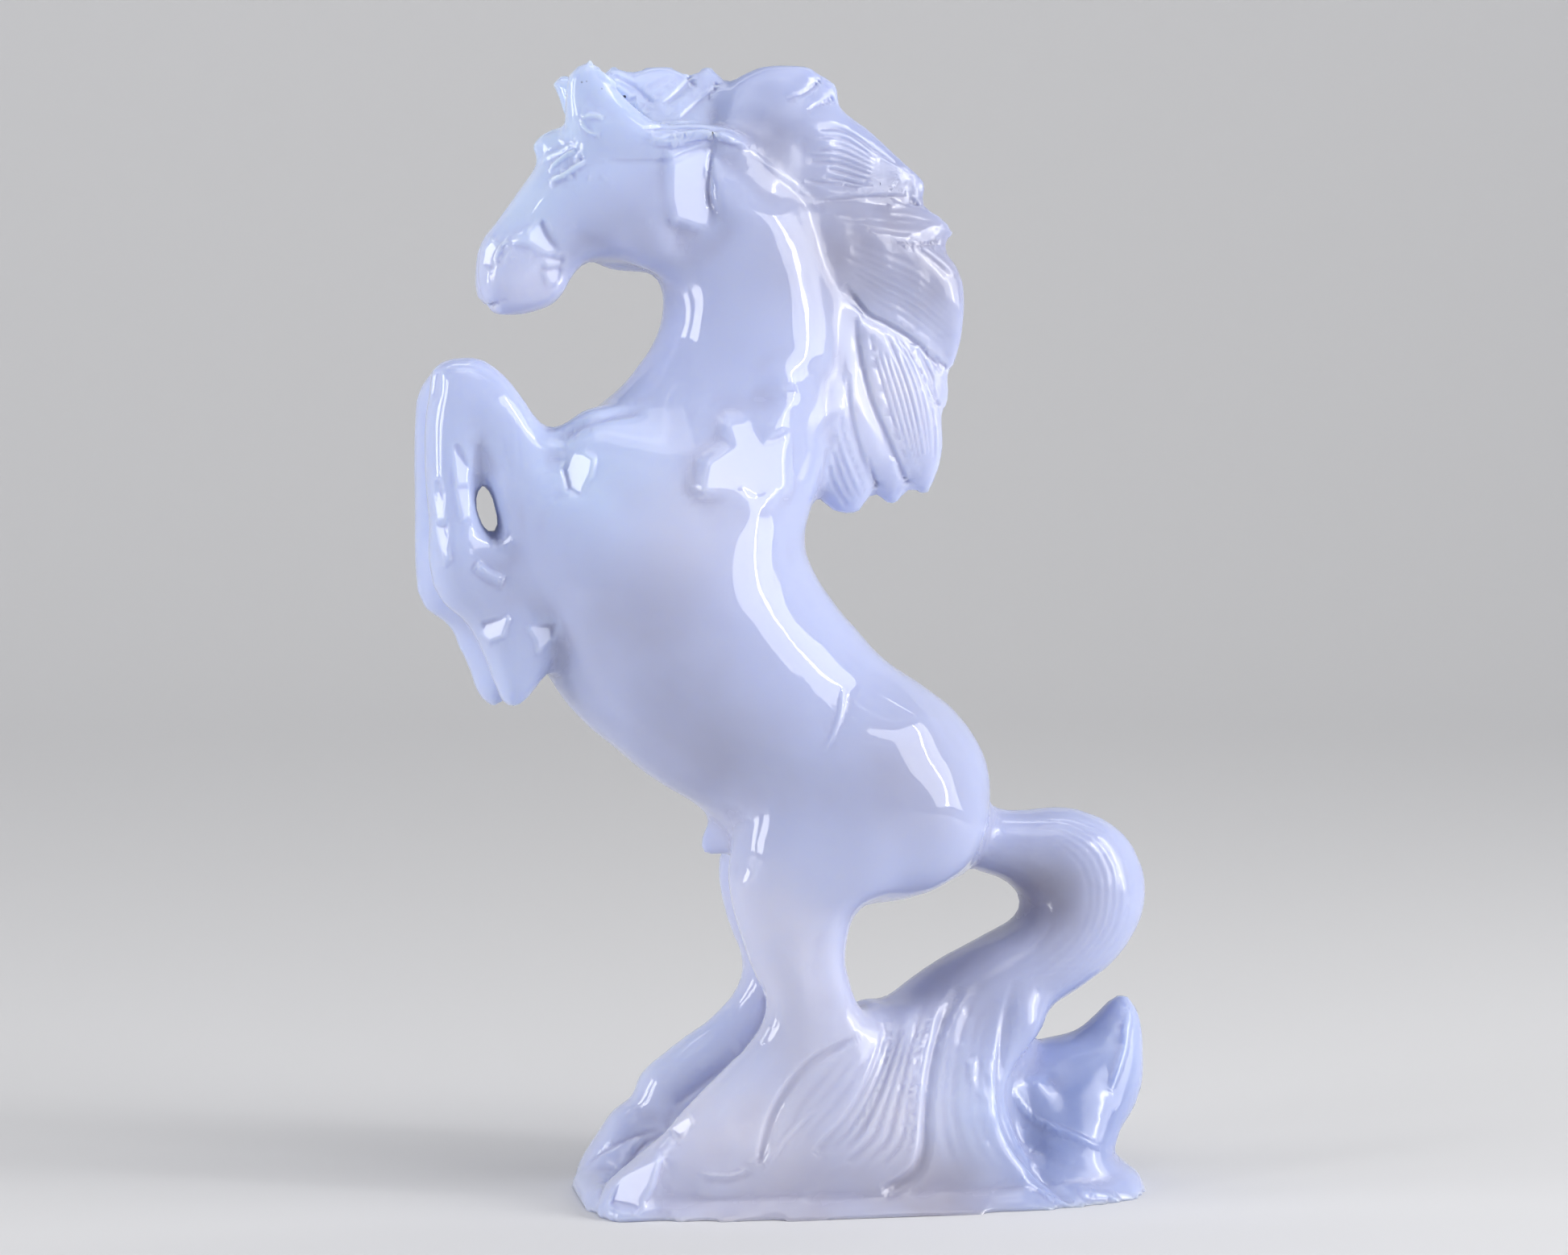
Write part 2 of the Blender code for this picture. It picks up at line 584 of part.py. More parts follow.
def carve_horse():
    muscles = object_from("Muscles", [loft(form) for form in muscle_forms()])
    fuse(muscles, MUSCLE_CELL, MUSCLE_ROUNDS)
    shapes = [loft(form) for form in carved_forms()]
    shapes.append(loft(base_ribs(), roundness=0.1, squareness=2.7))
    shapes.append(shape_of(muscles))
    bpy.data.objects.remove(muscles)
    horse = object_from("horse", shapes)
    fuse(horse, CARVING_CELL, CARVING_ROUNDS)
    saw_off_underneath(horse)
    thin(horse, FACET_COUNT)
    close_underneath(horse)
    return horse


def main():
    for obj in list(bpy.data.objects):
        bpy.data.objects.remove(obj)
    horse = carve_horse()
    horse.data.materials.append(chalcedony())
    group = bpy.data.collections.new("Carved chalcedony horse")
    bpy.context.scene.collection.children.link(group)
    bpy.context.scene.collection.objects.unlink(horse)
    group.objects.link(horse)
    size = [round(1000 * side, 1) for side in horse.dimensions]
    print("horse", len(horse.data.polygons), "facets,", size, "mm")


main()
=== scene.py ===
# %% [markdown]
# The object is a rearing horse, carved with the ground under it from one piece of pale blue chalcedony.
# The engineering model gives its size and its main forms, in flat facets that are mostly one to five
# millimetres wide. This lesson does what a carver does after the saw: it rounds the blank, sinks the folds,
# cuts the hair and the face with gravers, and polishes the stone. The length and the height stay within a
# tenth of a millimetre of the model's at each end, and the depth loses less than one millimetre.

# %% Load the sawn block
import math
import random

import bmesh
import bpy
import numpy as np
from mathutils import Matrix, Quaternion, Vector, noise
from mathutils.bvhtree import BVHTree
from mathutils.kdtree import KDTree


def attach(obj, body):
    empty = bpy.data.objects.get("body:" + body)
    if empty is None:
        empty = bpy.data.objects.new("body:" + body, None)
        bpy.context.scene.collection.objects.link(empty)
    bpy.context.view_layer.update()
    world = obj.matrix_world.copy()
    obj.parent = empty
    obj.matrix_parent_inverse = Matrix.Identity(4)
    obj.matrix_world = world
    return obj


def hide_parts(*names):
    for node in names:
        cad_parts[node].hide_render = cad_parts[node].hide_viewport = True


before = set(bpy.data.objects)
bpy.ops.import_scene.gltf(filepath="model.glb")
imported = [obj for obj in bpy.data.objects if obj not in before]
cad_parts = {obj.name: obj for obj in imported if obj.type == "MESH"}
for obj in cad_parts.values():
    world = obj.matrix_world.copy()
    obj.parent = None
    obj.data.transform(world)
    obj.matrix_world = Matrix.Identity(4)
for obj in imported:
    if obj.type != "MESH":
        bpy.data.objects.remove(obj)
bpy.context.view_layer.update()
sawn_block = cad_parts["horse"]
MM = 0.001

# %% [markdown]
# The photograph was taken from a little above the ground, slightly towards the horse's head. A camera
# could be placed by eye, but the carving below is drawn over the photograph, so the camera is set from
# the four numbers that fit it: its turn, its rise, its distance and how many pixels show one millimetre.
# The same camera then turns a pixel of the photograph into a ray that meets the stone.

# %% Set the camera
PHOTO_WIDTH, PHOTO_HEIGHT = 1946, 1557
CAMERA_TURN = math.radians(-11)
CAMERA_RISE = math.radians(3.5)
CAMERA_DISTANCE = 480 * MM
PIXELS_PER_MM = 10
LOOKED_AT = Vector((0, 0, 68.6 * MM))
LOOKED_AT_PIXEL = (1065, 795)
SENSOR_WIDTH = 36

back = Vector((math.sin(CAMERA_TURN) * math.cos(CAMERA_RISE),
               -math.cos(CAMERA_TURN) * math.cos(CAMERA_RISE),
               math.sin(CAMERA_RISE)))
level = Vector((math.cos(CAMERA_TURN), math.sin(CAMERA_TURN), 0))
rise = back.cross(level)
camera_place = LOOKED_AT + back * CAMERA_DISTANCE
focal_pixels = CAMERA_DISTANCE / MM * PIXELS_PER_MM
aimed_at = (LOOKED_AT + level * (PHOTO_WIDTH / 2 - LOOKED_AT_PIXEL[0]) / PIXELS_PER_MM * MM
            - rise * (PHOTO_HEIGHT / 2 - LOOKED_AT_PIXEL[1]) / PIXELS_PER_MM * MM)
look = (aimed_at - camera_place).normalized()
picture_right = look.cross(Vector((0, 0, 1))).normalized()
picture_up = picture_right.cross(look)

camera = bpy.data.objects.new("Camera", bpy.data.cameras.new("Camera"))
bpy.context.scene.collection.objects.link(camera)
camera.data.sensor_width = SENSOR_WIDTH
camera.data.lens = SENSOR_WIDTH * focal_pixels / PHOTO_WIDTH
camera.data.clip_start = 10 * MM
camera.location = camera_place
camera.rotation_euler = look.to_track_quat("-Z", "Y").to_euler()
bpy.context.scene.camera = camera
print("camera at", [round(c / MM) for c in camera_place], "mm, lens", round(camera.data.lens, 1))

# %% [markdown]
# A blank leaves the saw with flat facets, and a carver rounds them on a felt wheel before any detail is
# cut. Smoothing the facets in place would leave long thin triangles, so the blank is first remeshed into
# even little squares. It is then eased with a smoothing that pushes out again what it draws in, because
# plain smoothing would make the ears and the hair tips shorter.

# %% Round the blank
BLANK_CELL = 1.0 * MM
BLANK_ROUNDS = 12
DRAW_IN, PUSH_OUT = 0.5, -0.53
WELD_DISTANCE = 0.001 * MM


def new_piece(name, mesh):
    piece = bpy.data.objects.new(name, mesh)
    bpy.context.scene.collection.objects.link(piece)
    return piece


def bake_modifiers(piece):
    """Turns what the modifiers make into the piece's plain mesh."""
    graph = bpy.context.evaluated_depsgraph_get()
    made = bpy.data.meshes.new_from_object(piece.evaluated_get(graph))
    old = piece.data
    piece.modifiers.clear()
    piece.data = made
    bpy.data.meshes.remove(old)


def points_of(mesh):
    flat = np.empty(len(mesh.vertices) * 3)
    mesh.vertices.foreach_get("co", flat)
    return flat.reshape(-1, 3)


def set_points(mesh, points):
    mesh.vertices.foreach_set("co", points.ravel())
    mesh.update()


def neighbour_mean(points, mesh, rounds):
    """Each point's place after its neighbours have been averaged a few times."""
    ends = np.empty(len(mesh.edges) * 2, np.int64)
    mesh.edges.foreach_get("vertices", ends)
    first, second = ends.reshape(-1, 2).T
    count = np.bincount(ends, minlength=len(points))[:, None]
    for _ in range(rounds):
        total = [np.bincount(first, points[second, axis], len(points))
                 + np.bincount(second, points[first, axis], len(points)) for axis in range(3)]
        points = np.stack(total, 1) / count
    return points


def ease(mesh, rounds):
    """Smooths a mesh and pushes it out again after each round, so that it keeps its volume."""
    points = points_of(mesh)
    for share in [DRAW_IN, PUSH_OUT] * rounds:
        points += share * (neighbour_mean(points, mesh, 1) - points)
    set_points(mesh, points)


def triangles_in(mesh):
    return sum(len(polygon.vertices) - 2 for polygon in mesh.polygons)


welded = bmesh.new()
welded.from_mesh(sawn_block.data)
bmesh.ops.remove_doubles(welded, verts=welded.verts, dist=WELD_DISTANCE)
blank_mesh = bpy.data.meshes.new("Chalcedony horse")
welded.to_mesh(blank_mesh)
welded.free()
horse = new_piece("Chalcedony_horse", blank_mesh)
squares = horse.modifiers.new("Even squares", "REMESH")
squares.mode = "VOXEL"
squares.voxel_size = BLANK_CELL
bake_modifiers(horse)
ease(horse.data, BLANK_ROUNDS)
horse.data.shade_smooth()
print("blank:", triangles_in(horse.data), "triangles")

# %% [markdown]
# Everything that is cut into the stone follows a line: a fold of muscle, the edge of a lock, a single
# hair, an eyelid. The lines are drawn in the photograph's own pixels, as a carver draws on the blank, and
# each point is then dropped on the stone along the camera's ray. Lines for the side that the camera
# doesn't see are the same lines, carried straight through the stone to its other face.

# %% Draw lines on the stone
LINE_STEP = 4
BELLY_PIXEL = (870, 640)
DEEPEST_JUMP = 1.6 * MM
ABOVE_THE_STONE = 60 * MM
CURVE_STEPS = 12
FEWEST_POINTS, FEWEST_STRAND_POINTS, SHORTEST_RUN = 4, 6, 3
STRAND_DRIFT = 0.18
LATEST_START, EARLIEST_END = 0.22, 0.88
WEAKEST, STRONGEST = 0.7, 1.2
NARROWEST_STRAND, FULL_CUT_WIDTH = 0.2, 0.5
PITCH_FILLED = 0.52
STRAND_ENDS = (0.15, 0.3)
FAR_STRANDS, FAR_DEEPER, FAR_WIDER = 0.6, 1.4, 1.5


def curve_through(points, count):
    """Evenly spaced places on a smooth curve through a few pixels."""
    near = np.array(points, float)
    if len(near) == 2:
        return np.linspace(near[0], near[1], count)
    padded = np.vstack([2 * near[0] - near[1], near, 2 * near[-1] - near[-2]])
    dense = []
    for a, b, c, d in zip(padded, padded[1:], padded[2:], padded[3:]):
        for t in np.arange(CURVE_STEPS) / CURVE_STEPS:
            bend = (2 * b + (c - a) * t + (2 * a - 5 * b + 4 * c - d) * t**2
                    + (3 * b - a - 3 * c + d) * t**3)
            dense.append(bend / 2)
    dense = np.array(dense + [near[-1]])
    gone = np.concatenate([[0], np.cumsum(np.linalg.norm(np.diff(dense, axis=0), axis=1))])
    even = np.linspace(0, gone[-1], count)
    return np.stack([np.interp(even, gone, dense[:, k]) for k in range(2)], 1)


def length_of(points):
    return float(np.linalg.norm(np.diff(np.array(points, float), axis=0), axis=1).sum())


def route_along(pixels):
    return curve_through(pixels, max(FEWEST_POINTS, round(length_of(pixels) / LINE_STEP)))


def taper(share, start, end):
    """0 at a line's ends and 1 between, with shares of its length to come up and to die away."""
    up = min(1, share / start) if start else 1
    down = min(1, (1 - share) / end) if end else 1
    return math.sin(math.pi / 2 * min(up, down))


class Drawing:
    """Lines on the stone, and how deep and wide the graver cuts at each of their points."""

    def __init__(self, stone):
        graph = bpy.context.evaluated_depsgraph_get()
        self.skin = BVHTree.FromObject(stone, graph)
        self.points, self.edges = [], []
        self.cut, self.left, self.right, self.wrap = [], [], [], []
        self.face, self.lean = [], []

    def near_side(self, u, v):
        """The place and facing where the camera's ray through a pixel meets the stone."""
        ray = (look * focal_pixels + picture_right * (u - PHOTO_WIDTH / 2)
               - picture_up * (v - PHOTO_HEIGHT / 2)).normalized()
        place, facing, _, _ = self.skin.ray_cast(camera_place, ray)
        return (place, facing) if place else None

    def far_side(self, near):
        """The place straight through the stone from a place on the near side."""
        if near is None:
            return None
        start = Vector((near[0].x, ABOVE_THE_STONE, near[0].z))
        place, facing, _, _ = self.skin.ray_cast(start, Vector((0, -1, 0)))
        return (place, facing) if place else None

    def lay(self, places, cuts, lefts, rights, wrap=0.0):
        """Adds a line through places on the stone, broken where it leaves it or jumps to another form."""
        run = []
        for k in range(len(places) + 1):
            here = places[k] if k < len(places) else None
            if here is None or (run and (here[0] - places[run[-1]][0]).length > DEEPEST_JUMP and not wrap):
                self.lay_run(run, places, cuts, lefts, rights, wrap)
                run = []
            if here is not None:
                run.append(k)

    def lay_run(self, run, places, cuts, lefts, rights, wrap):
        if len(run) < SHORTEST_RUN:
            return
        first = len(self.points)
        for n, k in enumerate(run):
            place, facing = places[k]
            before, after = places[run[max(n - 1, 0)]][0], places[run[min(n + 1, len(run) - 1)]][0]
            self.points.append(place[:])
            self.face.append(facing[:])
            self.lean.append(facing.cross(after - before).normalized()[:])
            self.cut.append(cuts[k])
            self.left.append(lefts[k])
            self.right.append(rights[k])
            self.wrap.append(wrap)
        self.edges += [(k, k + 1) for k in range(first, len(self.points) - 1)]

    def line(self, pixels, cut, left, right=None, ends=(0.2, 0.2), far=0.0):
        """One line. left and right are the widths of its two slopes, as one looks along it, in mm."""
        right = left if right is None else right
        route = route_along(pixels)
        count = len(route)
        shares = [k / (count - 1) for k in range(count)]
        cuts = [cut * MM * taper(share, *ends) for share in shares]
        near = [self.near_side(u, v) for u, v in route]
        self.lay(near, cuts, [left * MM] * count, [right * MM] * count)
        if far:
            beyond = [self.far_side(place) for place in near]
            self.lay(beyond, [c * far for c in cuts], [right * MM] * count, [left * MM] * count)

    def notch(self, pixels, cut, width):
        """A nick in a thin rim: a line that runs out over the rim and back on the far side."""
        route = route_along(pixels)
        near = [place for place in (self.near_side(u, v) for u, v in route) if place]
        beyond = [place for place in (self.far_side(place) for place in reversed(near)) if place]
        cuts = [cut * MM * (k + 1) / len(near) for k in range(len(near))]
        cuts += cuts[::-1][:len(beyond)]
        widths = [width * MM] * len(cuts)
        self.lay(near + beyond, cuts, widths, widths, wrap=1.0)

    def hair(self, one_edge, other_edge, count, cut, seed, waves=0.06, widest=0.62):
        """Fine lines that follow two edges of a lock, closer together where the lock narrows."""
        chance = random.Random(seed)
        longest = max(length_of(one_edge), length_of(other_edge))
        steps = max(FEWEST_STRAND_POINTS, round(longest / LINE_STEP))
        a, b = curve_through(one_edge, steps), curve_through(other_edge, steps)
        pitch = np.linalg.norm(b - a, axis=1) / count / PIXELS_PER_MM
        for n in range(count):
            share = (n + 0.5 + chance.uniform(-STRAND_DRIFT, STRAND_DRIFT)) / count
            wobble = waves * chance.uniform(0.5, 1) / count * np.sin(
                np.linspace(0, chance.uniform(4, 8), steps) + chance.uniform(0, 6))
            route = a + (b - a) * (share + wobble)[:, None]
            first = round(chance.uniform(0, LATEST_START) * steps)
            last = round(chance.uniform(EARLIEST_END, 1) * steps)
            strength = chance.uniform(WEAKEST, STRONGEST)
            rows = range(first, last)
            halves = [min(widest, max(NARROWEST_STRAND, PITCH_FILLED * pitch[k])) * MM for k in rows]
            cuts = [cut * MM * strength * min(1, half / (FULL_CUT_WIDTH * MM))
                    * taper((k - first) / (last - first), *STRAND_ENDS) for k, half in zip(rows, halves)]
            near = [self.near_side(*route[k]) for k in rows]
            self.lay(near, cuts, halves, halves)
            if n % 2 == 0:
                beyond = [self.far_side(place) for place in near]
                wider = [half * FAR_WIDER for half in halves]
                self.lay(beyond, [c * FAR_STRANDS * FAR_DEEPER for c in cuts], wider, wider)

    def as_object(self, name):
        mesh = bpy.data.meshes.new(name)
        mesh.from_pydata(self.points, self.edges, [])
        for title in ("cut", "left", "right", "wrap"):
            mesh.attributes.new(title, "FLOAT", "POINT").data.foreach_set("value", getattr(self, title))
        for title in ("face", "lean"):
            flat = np.array(getattr(self, title)).ravel()
            mesh.attributes.new(title, "FLOAT_VECTOR", "POINT").data.foreach_set("vector", flat)
        return new_piece(name, mesh)


belly, _ = Drawing(horse).near_side(*BELLY_PIXEL)
print("a ray through the belly meets the stone at", [round(c / MM, 1) for c in belly], "mm")

# %% [markdown]
# The facets of the sawn block leave lumps where many locks meet, and a lump under a strand breaks its
# shine. So the hair and the tail's fall are felted down first. Each point moves towards its neighbours'
# average, but only across the carving, so the outline in the photograph hardly moves. On the thin hair it
# moves only as far as it faces sideways, which keeps the rims from growing thinner still. The body is
# left as a hand-held wheel leaves it: a little flat here and there, which gives the highlights their
# straight, angular edges.

# %% Felt down the lumps and polish the body
FELTED_HAIR = [
    ((965, 112), 6), ((1000, 160), 9), ((975, 197), 5), ((1060, 170), 9), ((1050, 235), 9),
    ((1110, 290), 10), ((1070, 330), 8), ((1110, 400), 10), ((1110, 520), 10), ((1060, 590), 6),
    ((840, 120), 5), ((800, 1470), 6),
]
FELTED_GROUND = [
    ((1050, 1340), 11), ((1130, 1420), 11), ((970, 1430), 8), ((1200, 1330), 9), ((1220, 1440), 9),
    ((1272, 1375), 9), ((890, 1470), 8), ((1330, 1370), 9), ((1330, 1460), 8), ((1060, 1470), 8),
    ((870, 285), 4), ((950, 1050), 10), ((660, 690), 7), ((966, 206), 5),
]
HAIR_ROUNDS = 30
GROUND_ROUNDS = 90
GROUND_MARGIN = 2.5 * MM
FACET_SIZE = 8 * MM
FACET_DEPTH = 0.28 * MM
WAVE_SIZE = 6 * MM
WAVE_DEPTH = 0.07 * MM
FLAT_LEVEL = 0.2
EDGE_STEEPNESS = 4


def facing_of(mesh):
    flat = np.empty(len(mesh.vertices) * 3)
    mesh.vertices.foreach_get("normal", flat)
    return flat.reshape(-1, 3)


def share_of(piece, places):
    """1 inside the places, straight through the stone, fading to 0 outside them."""
    drawing = Drawing(piece)
    points = points_of(piece.data)
    share = np.zeros(len(points))
    for pixel, reach in places:
        place, _ = drawing.near_side(*pixel)
        away = np.hypot(points[:, 0] - place.x, points[:, 2] - place.z) / (reach * MM)
        share = np.maximum(share, np.exp(-away**EDGE_STEEPNESS))
    return share


def felt_down(piece, places, rounds, keep_rims):
    mesh = piece.data
    points = points_of(mesh)
    share = share_of(piece, places) * np.clip(points[:, 2] / GROUND_MARGIN, 0, 1)
    if keep_rims:
        share *= np.abs(facing_of(mesh)[:, 1])
    lift = share * (neighbour_mean(points, mesh, rounds) - points)[:, 1]
    points[:, 1] += lift
    set_points(mesh, points)
    print("felted", rounds, "rounds: moved at most", round(float(np.abs(lift).max()) / MM, 2), "mm")


def polish_by_hand(piece):
    mesh = piece.data
    points = points_of(mesh)
    flat = np.array([noise.voronoi(Vector(point / FACET_SIZE))[0][0] for point in points])
    wave = np.array([noise.noise(Vector(point / WAVE_SIZE)) for point in points])
    body = 1 - share_of(piece, FELTED_HAIR + FELTED_GROUND)
    lift = body * np.clip(points[:, 2] / GROUND_MARGIN, 0, 1)
    lift *= FACET_DEPTH * (flat**2 - FLAT_LEVEL) + WAVE_DEPTH * wave
    points += facing_of(mesh) * lift[:, None]
    set_points(mesh, points)
    print("polished by hand: moved at most", round(float(np.abs(lift).max()) / MM, 2), "mm")


felt_down(horse, FELTED_HAIR, HAIR_ROUNDS, True)
felt_down(horse, FELTED_GROUND, GROUND_ROUNDS, False)
polish_by_hand(horse)

# %% [markdown]
# A graver takes stone away along its line and leaves a groove with two slopes. On a fold or a groove the
# slopes are alike, and where one lock lies over another the upper side is steep and the lower side is
# long. Boolean cuts would leave torn edges on a mesh this fine, so the graver is a Geometry Nodes tree
# that pushes the skin in: it measures how far each point is from the nearest line, reads that line's
# depth and the width of the slope on the point's side, and moves the point along its own normal.

# %% Build the graver
FACE_SHARPNESS = 2.0
WRAP_REACH = 4.0
FINEST_SQUARE = 0.3 * MM
FACES_CAMERA = 0.2


def maths_in(nodes, links):
    """Gives a function that adds a Math node, fed by other nodes or by plain numbers."""
    def sums(operation, *values, clamp=False):
        node = nodes.new("ShaderNodeMath")
        node.operation = operation
        node.use_clamp = clamp
        for socket, value in zip(node.inputs, values):
            if isinstance(value, (int, float)):
                socket.default_value = value
            else:
                links.new(value, socket)
        return node.outputs[0]

    return sums


def graver_tree():
    tree = bpy.data.node_groups.new("Graver", "GeometryNodeTree")
    tree.interface.new_socket("Geometry", in_out="INPUT", socket_type="NodeSocketGeometry")
    tree.interface.new_socket("Lines", in_out="INPUT", socket_type="NodeSocketObject")
    tree.interface.new_socket("Stone", in_out="INPUT", socket_type="NodeSocketMaterial")
    tree.interface.new_socket("Geometry", in_out="OUTPUT", socket_type="NodeSocketGeometry")
    nodes, links = tree.nodes, tree.links
    sums = maths_in(nodes, links)
    given = nodes.new("NodeGroupInput")
    lines = nodes.new("GeometryNodeObjectInfo")
    links.new(given.outputs["Lines"], lines.inputs["Object"])

    def vectors(operation, first, second):
        node = nodes.new("ShaderNodeVectorMath")
        node.operation = operation
        links.new(first, node.inputs[0])
        if operation == "SCALE":
            links.new(second, node.inputs["Scale"])
        else:
            links.new(second, node.inputs[1])
        return node.outputs["Value" if operation == "DOT_PRODUCT" else "Vector"]

    nearest_point = nodes.new("GeometryNodeSampleNearest")
    links.new(lines.outputs["Geometry"], nearest_point.inputs["Geometry"])
    closest = nodes.new("GeometryNodeProximity")
    closest.target_element = "EDGES"
    links.new(lines.outputs["Geometry"], closest.inputs["Geometry"])

    def read(title, kind="FLOAT"):
        """The nearest line's own value of that name."""
        named = nodes.new("GeometryNodeInputNamedAttribute")
        named.data_type = kind
        named.inputs["Name"].default_value = title
        sample = nodes.new("GeometryNodeSampleIndex")
        sample.data_type = kind
        links.new(lines.outputs["Geometry"], sample.inputs["Geometry"])
        links.new(named.outputs["Attribute"], sample.inputs["Value"])
        links.new(nearest_point.outputs["Index"], sample.inputs["Index"])
        return sample.outputs["Value"]

    place = nodes.new("GeometryNodeInputPosition").outputs["Position"]
    normal = nodes.new("GeometryNodeInputNormal").outputs["Normal"]
    across = vectors("SUBTRACT", place, closest.outputs["Position"])
    side = vectors("DOT_PRODUCT", across, read("lean", "FLOAT_VECTOR"))
    on_left = sums("GREATER_THAN", side, 0.0)
    on_right = sums("SUBTRACT", 1.0, on_left)
    width = sums("ADD", sums("MULTIPLY", on_left, read("left")), sums("MULTIPLY", on_right, read("right")))
    away = sums("DIVIDE", closest.outputs["Distance"], width, clamp=True)
    slope = sums("SUBTRACT", 1.0, sums("MULTIPLY", away, away))
    groove = sums("MULTIPLY", slope, slope)
    same_face = vectors("DOT_PRODUCT", normal, read("face", "FLOAT_VECTOR"))
    on_face = sums("MULTIPLY", same_face, FACE_SHARPNESS)
    round_the_rim = sums("MULTIPLY", read("wrap"), WRAP_REACH)
    reached = sums("ADD", on_face, round_the_rim, clamp=True)
    depth = sums("MULTIPLY", sums("MULTIPLY", groove, reached), read("cut"))
    depth = sums("MULTIPLY", depth, -1.0)
    move = nodes.new("GeometryNodeSetPosition")
    links.new(given.outputs["Geometry"], move.inputs["Geometry"])
    links.new(vectors("SCALE", normal, depth), move.inputs["Offset"])
    real = nodes.new("GeometryNodeRealizeInstances")
    links.new(move.outputs["Geometry"], real.inputs["Geometry"])
    paint = nodes.new("GeometryNodeSetMaterial")
    links.new(real.outputs["Geometry"], paint.inputs["Geometry"])
    links.new(given.outputs["Stone"], paint.inputs["Material"])
    result = nodes.new("NodeGroupOutput")
    links.new(paint.outputs["Geometry"], result.inputs["Geometry"])
    return tree


graver = graver_tree()
stone_finish = bpy.data.materials.new("Chalcedony")
print("graver:", len(graver.nodes), "nodes")


def engrave(piece, drawing, name):
    """Cuts a drawing's lines into the piece."""
    lines = drawing.as_object(name)
    tool = piece.modifiers.new(name, "NODES")
    tool.node_group = graver
    items = graver.interface.items_tree
    sockets = {item.name: item.identifier for item in items if item.in_out == "INPUT"}
    tool[sockets["Lines"]] = lines
    tool[sockets["Stone"]] = stone_finish
    bake_modifiers(piece)
    piece.data.shade_smooth()
    print(name + ":", len(drawing.points), "points drawn")
    bpy.data.objects.remove(lines)


def refine(piece, drawing, margin, wide=True, far_too=True):
    """Splits each little square near a drawing's lines in four, so that fine cuts find points to move."""
    tree = KDTree(len(drawing.points))
    for k, point in enumerate(drawing.points):
        tree.insert(point, k)
    tree.balance()
    pick = max if wide else min
    reach = [pick(left, right) + margin for left, right in zip(drawing.left, drawing.right)]
    fine = bmesh.new()
    fine.from_mesh(piece.data)
    split = set()
    for face in fine.faces:
        if face.calc_area() < FINEST_SQUARE**2:
            continue
        _, nearest, distance = tree.find(face.calc_center_median())
        if distance < reach[nearest] and (far_too or drawing.face[nearest][1] < FACES_CAMERA):
            split.update(face.edges)
    bmesh.ops.subdivide_edges(fine, edges=list(split), cuts=1, use_grid_fill=True)
    fine.to_mesh(piece.data)
    fine.free()
    print("refined to", triangles_in(piece.data), "triangles")


# %% [markdown]
# The first cuts are wide and soft. They part the forearm from the chest and the neck from the mane, and
# they hollow the ear. Polishing leaves no edge on them, so they are cut in the coarse skin. Each row holds
# the line's pixels, its depth and the widths of its left and right slopes in millimetres, or one width where
# both are alike. A depth below zero raises the stone: here that is one ring, round the foreleg's hole.

# %% Sink the soft folds
SOFT_FOLDS = [
    ([(697, 550), (712, 534), (735, 523), (765, 515), (798, 511)], 0.5, 1.5, 1.0),
    ([(1060, 842), (1050, 880), (1035, 915), (1018, 945)], 0.12, 2.0, 2.6),
    ([(696, 556), (700, 590), (706, 622)], 0.4, 3.5),
    ([(712, 98), (728, 117), (748, 133), (772, 146)], 0.35, 1.6, 2.4),
    ([(925, 180), (960, 211), (1000, 243), (1017, 270), (1026, 310), (1030, 360)], 0.15, 2.8, 2.0),
    ([(1035, 470), (985, 492), (925, 500), (870, 505)], 0.3, 3.5, 3.0),
    ([(1020, 610), (975, 628), (920, 640), (860, 650)], 0.25, 3.0, 3.5),
    ([(1020, 1150), (1012, 1190), (1018, 1235), (1040, 1262)], 0.2, 2.0),
    ([(914, 1000), (914, 1045), (918, 1095)], 0.3, 3.5),
]
SOFT_SWELLS = [
    ([(592, 588), (608, 592), (622, 615), (632, 650), (626, 680), (608, 682), (592, 655), (583, 620),
      (584, 595)],
     -0.3, 2.2),
]
for rows, name in ((SOFT_FOLDS, "Soft folds"), (SOFT_SWELLS, "Soft swells")):
    drawing = Drawing(horse)
    for pixels, cut, *widths in rows:
        drawing.line(pixels, cut, *widths, far=1)
    engrave(horse, drawing, name)

# %% [markdown]
# Where the wheel was held flat it left a facet. The photograph shows each one as a light patch with
# straight edges, because all of a facet turns towards the same lamp. So each patch is drawn by its
# corners, and the skin inside them is laid on one plane: the plane that the stone nearly has there,
# turned only as far as it must be to catch the nearest lamp. Two more patches are turned out of the
# light, where this mesh shone and the photograph doesn't. The slopes are worked out from this scene's
# lamps, not measured on the stone.

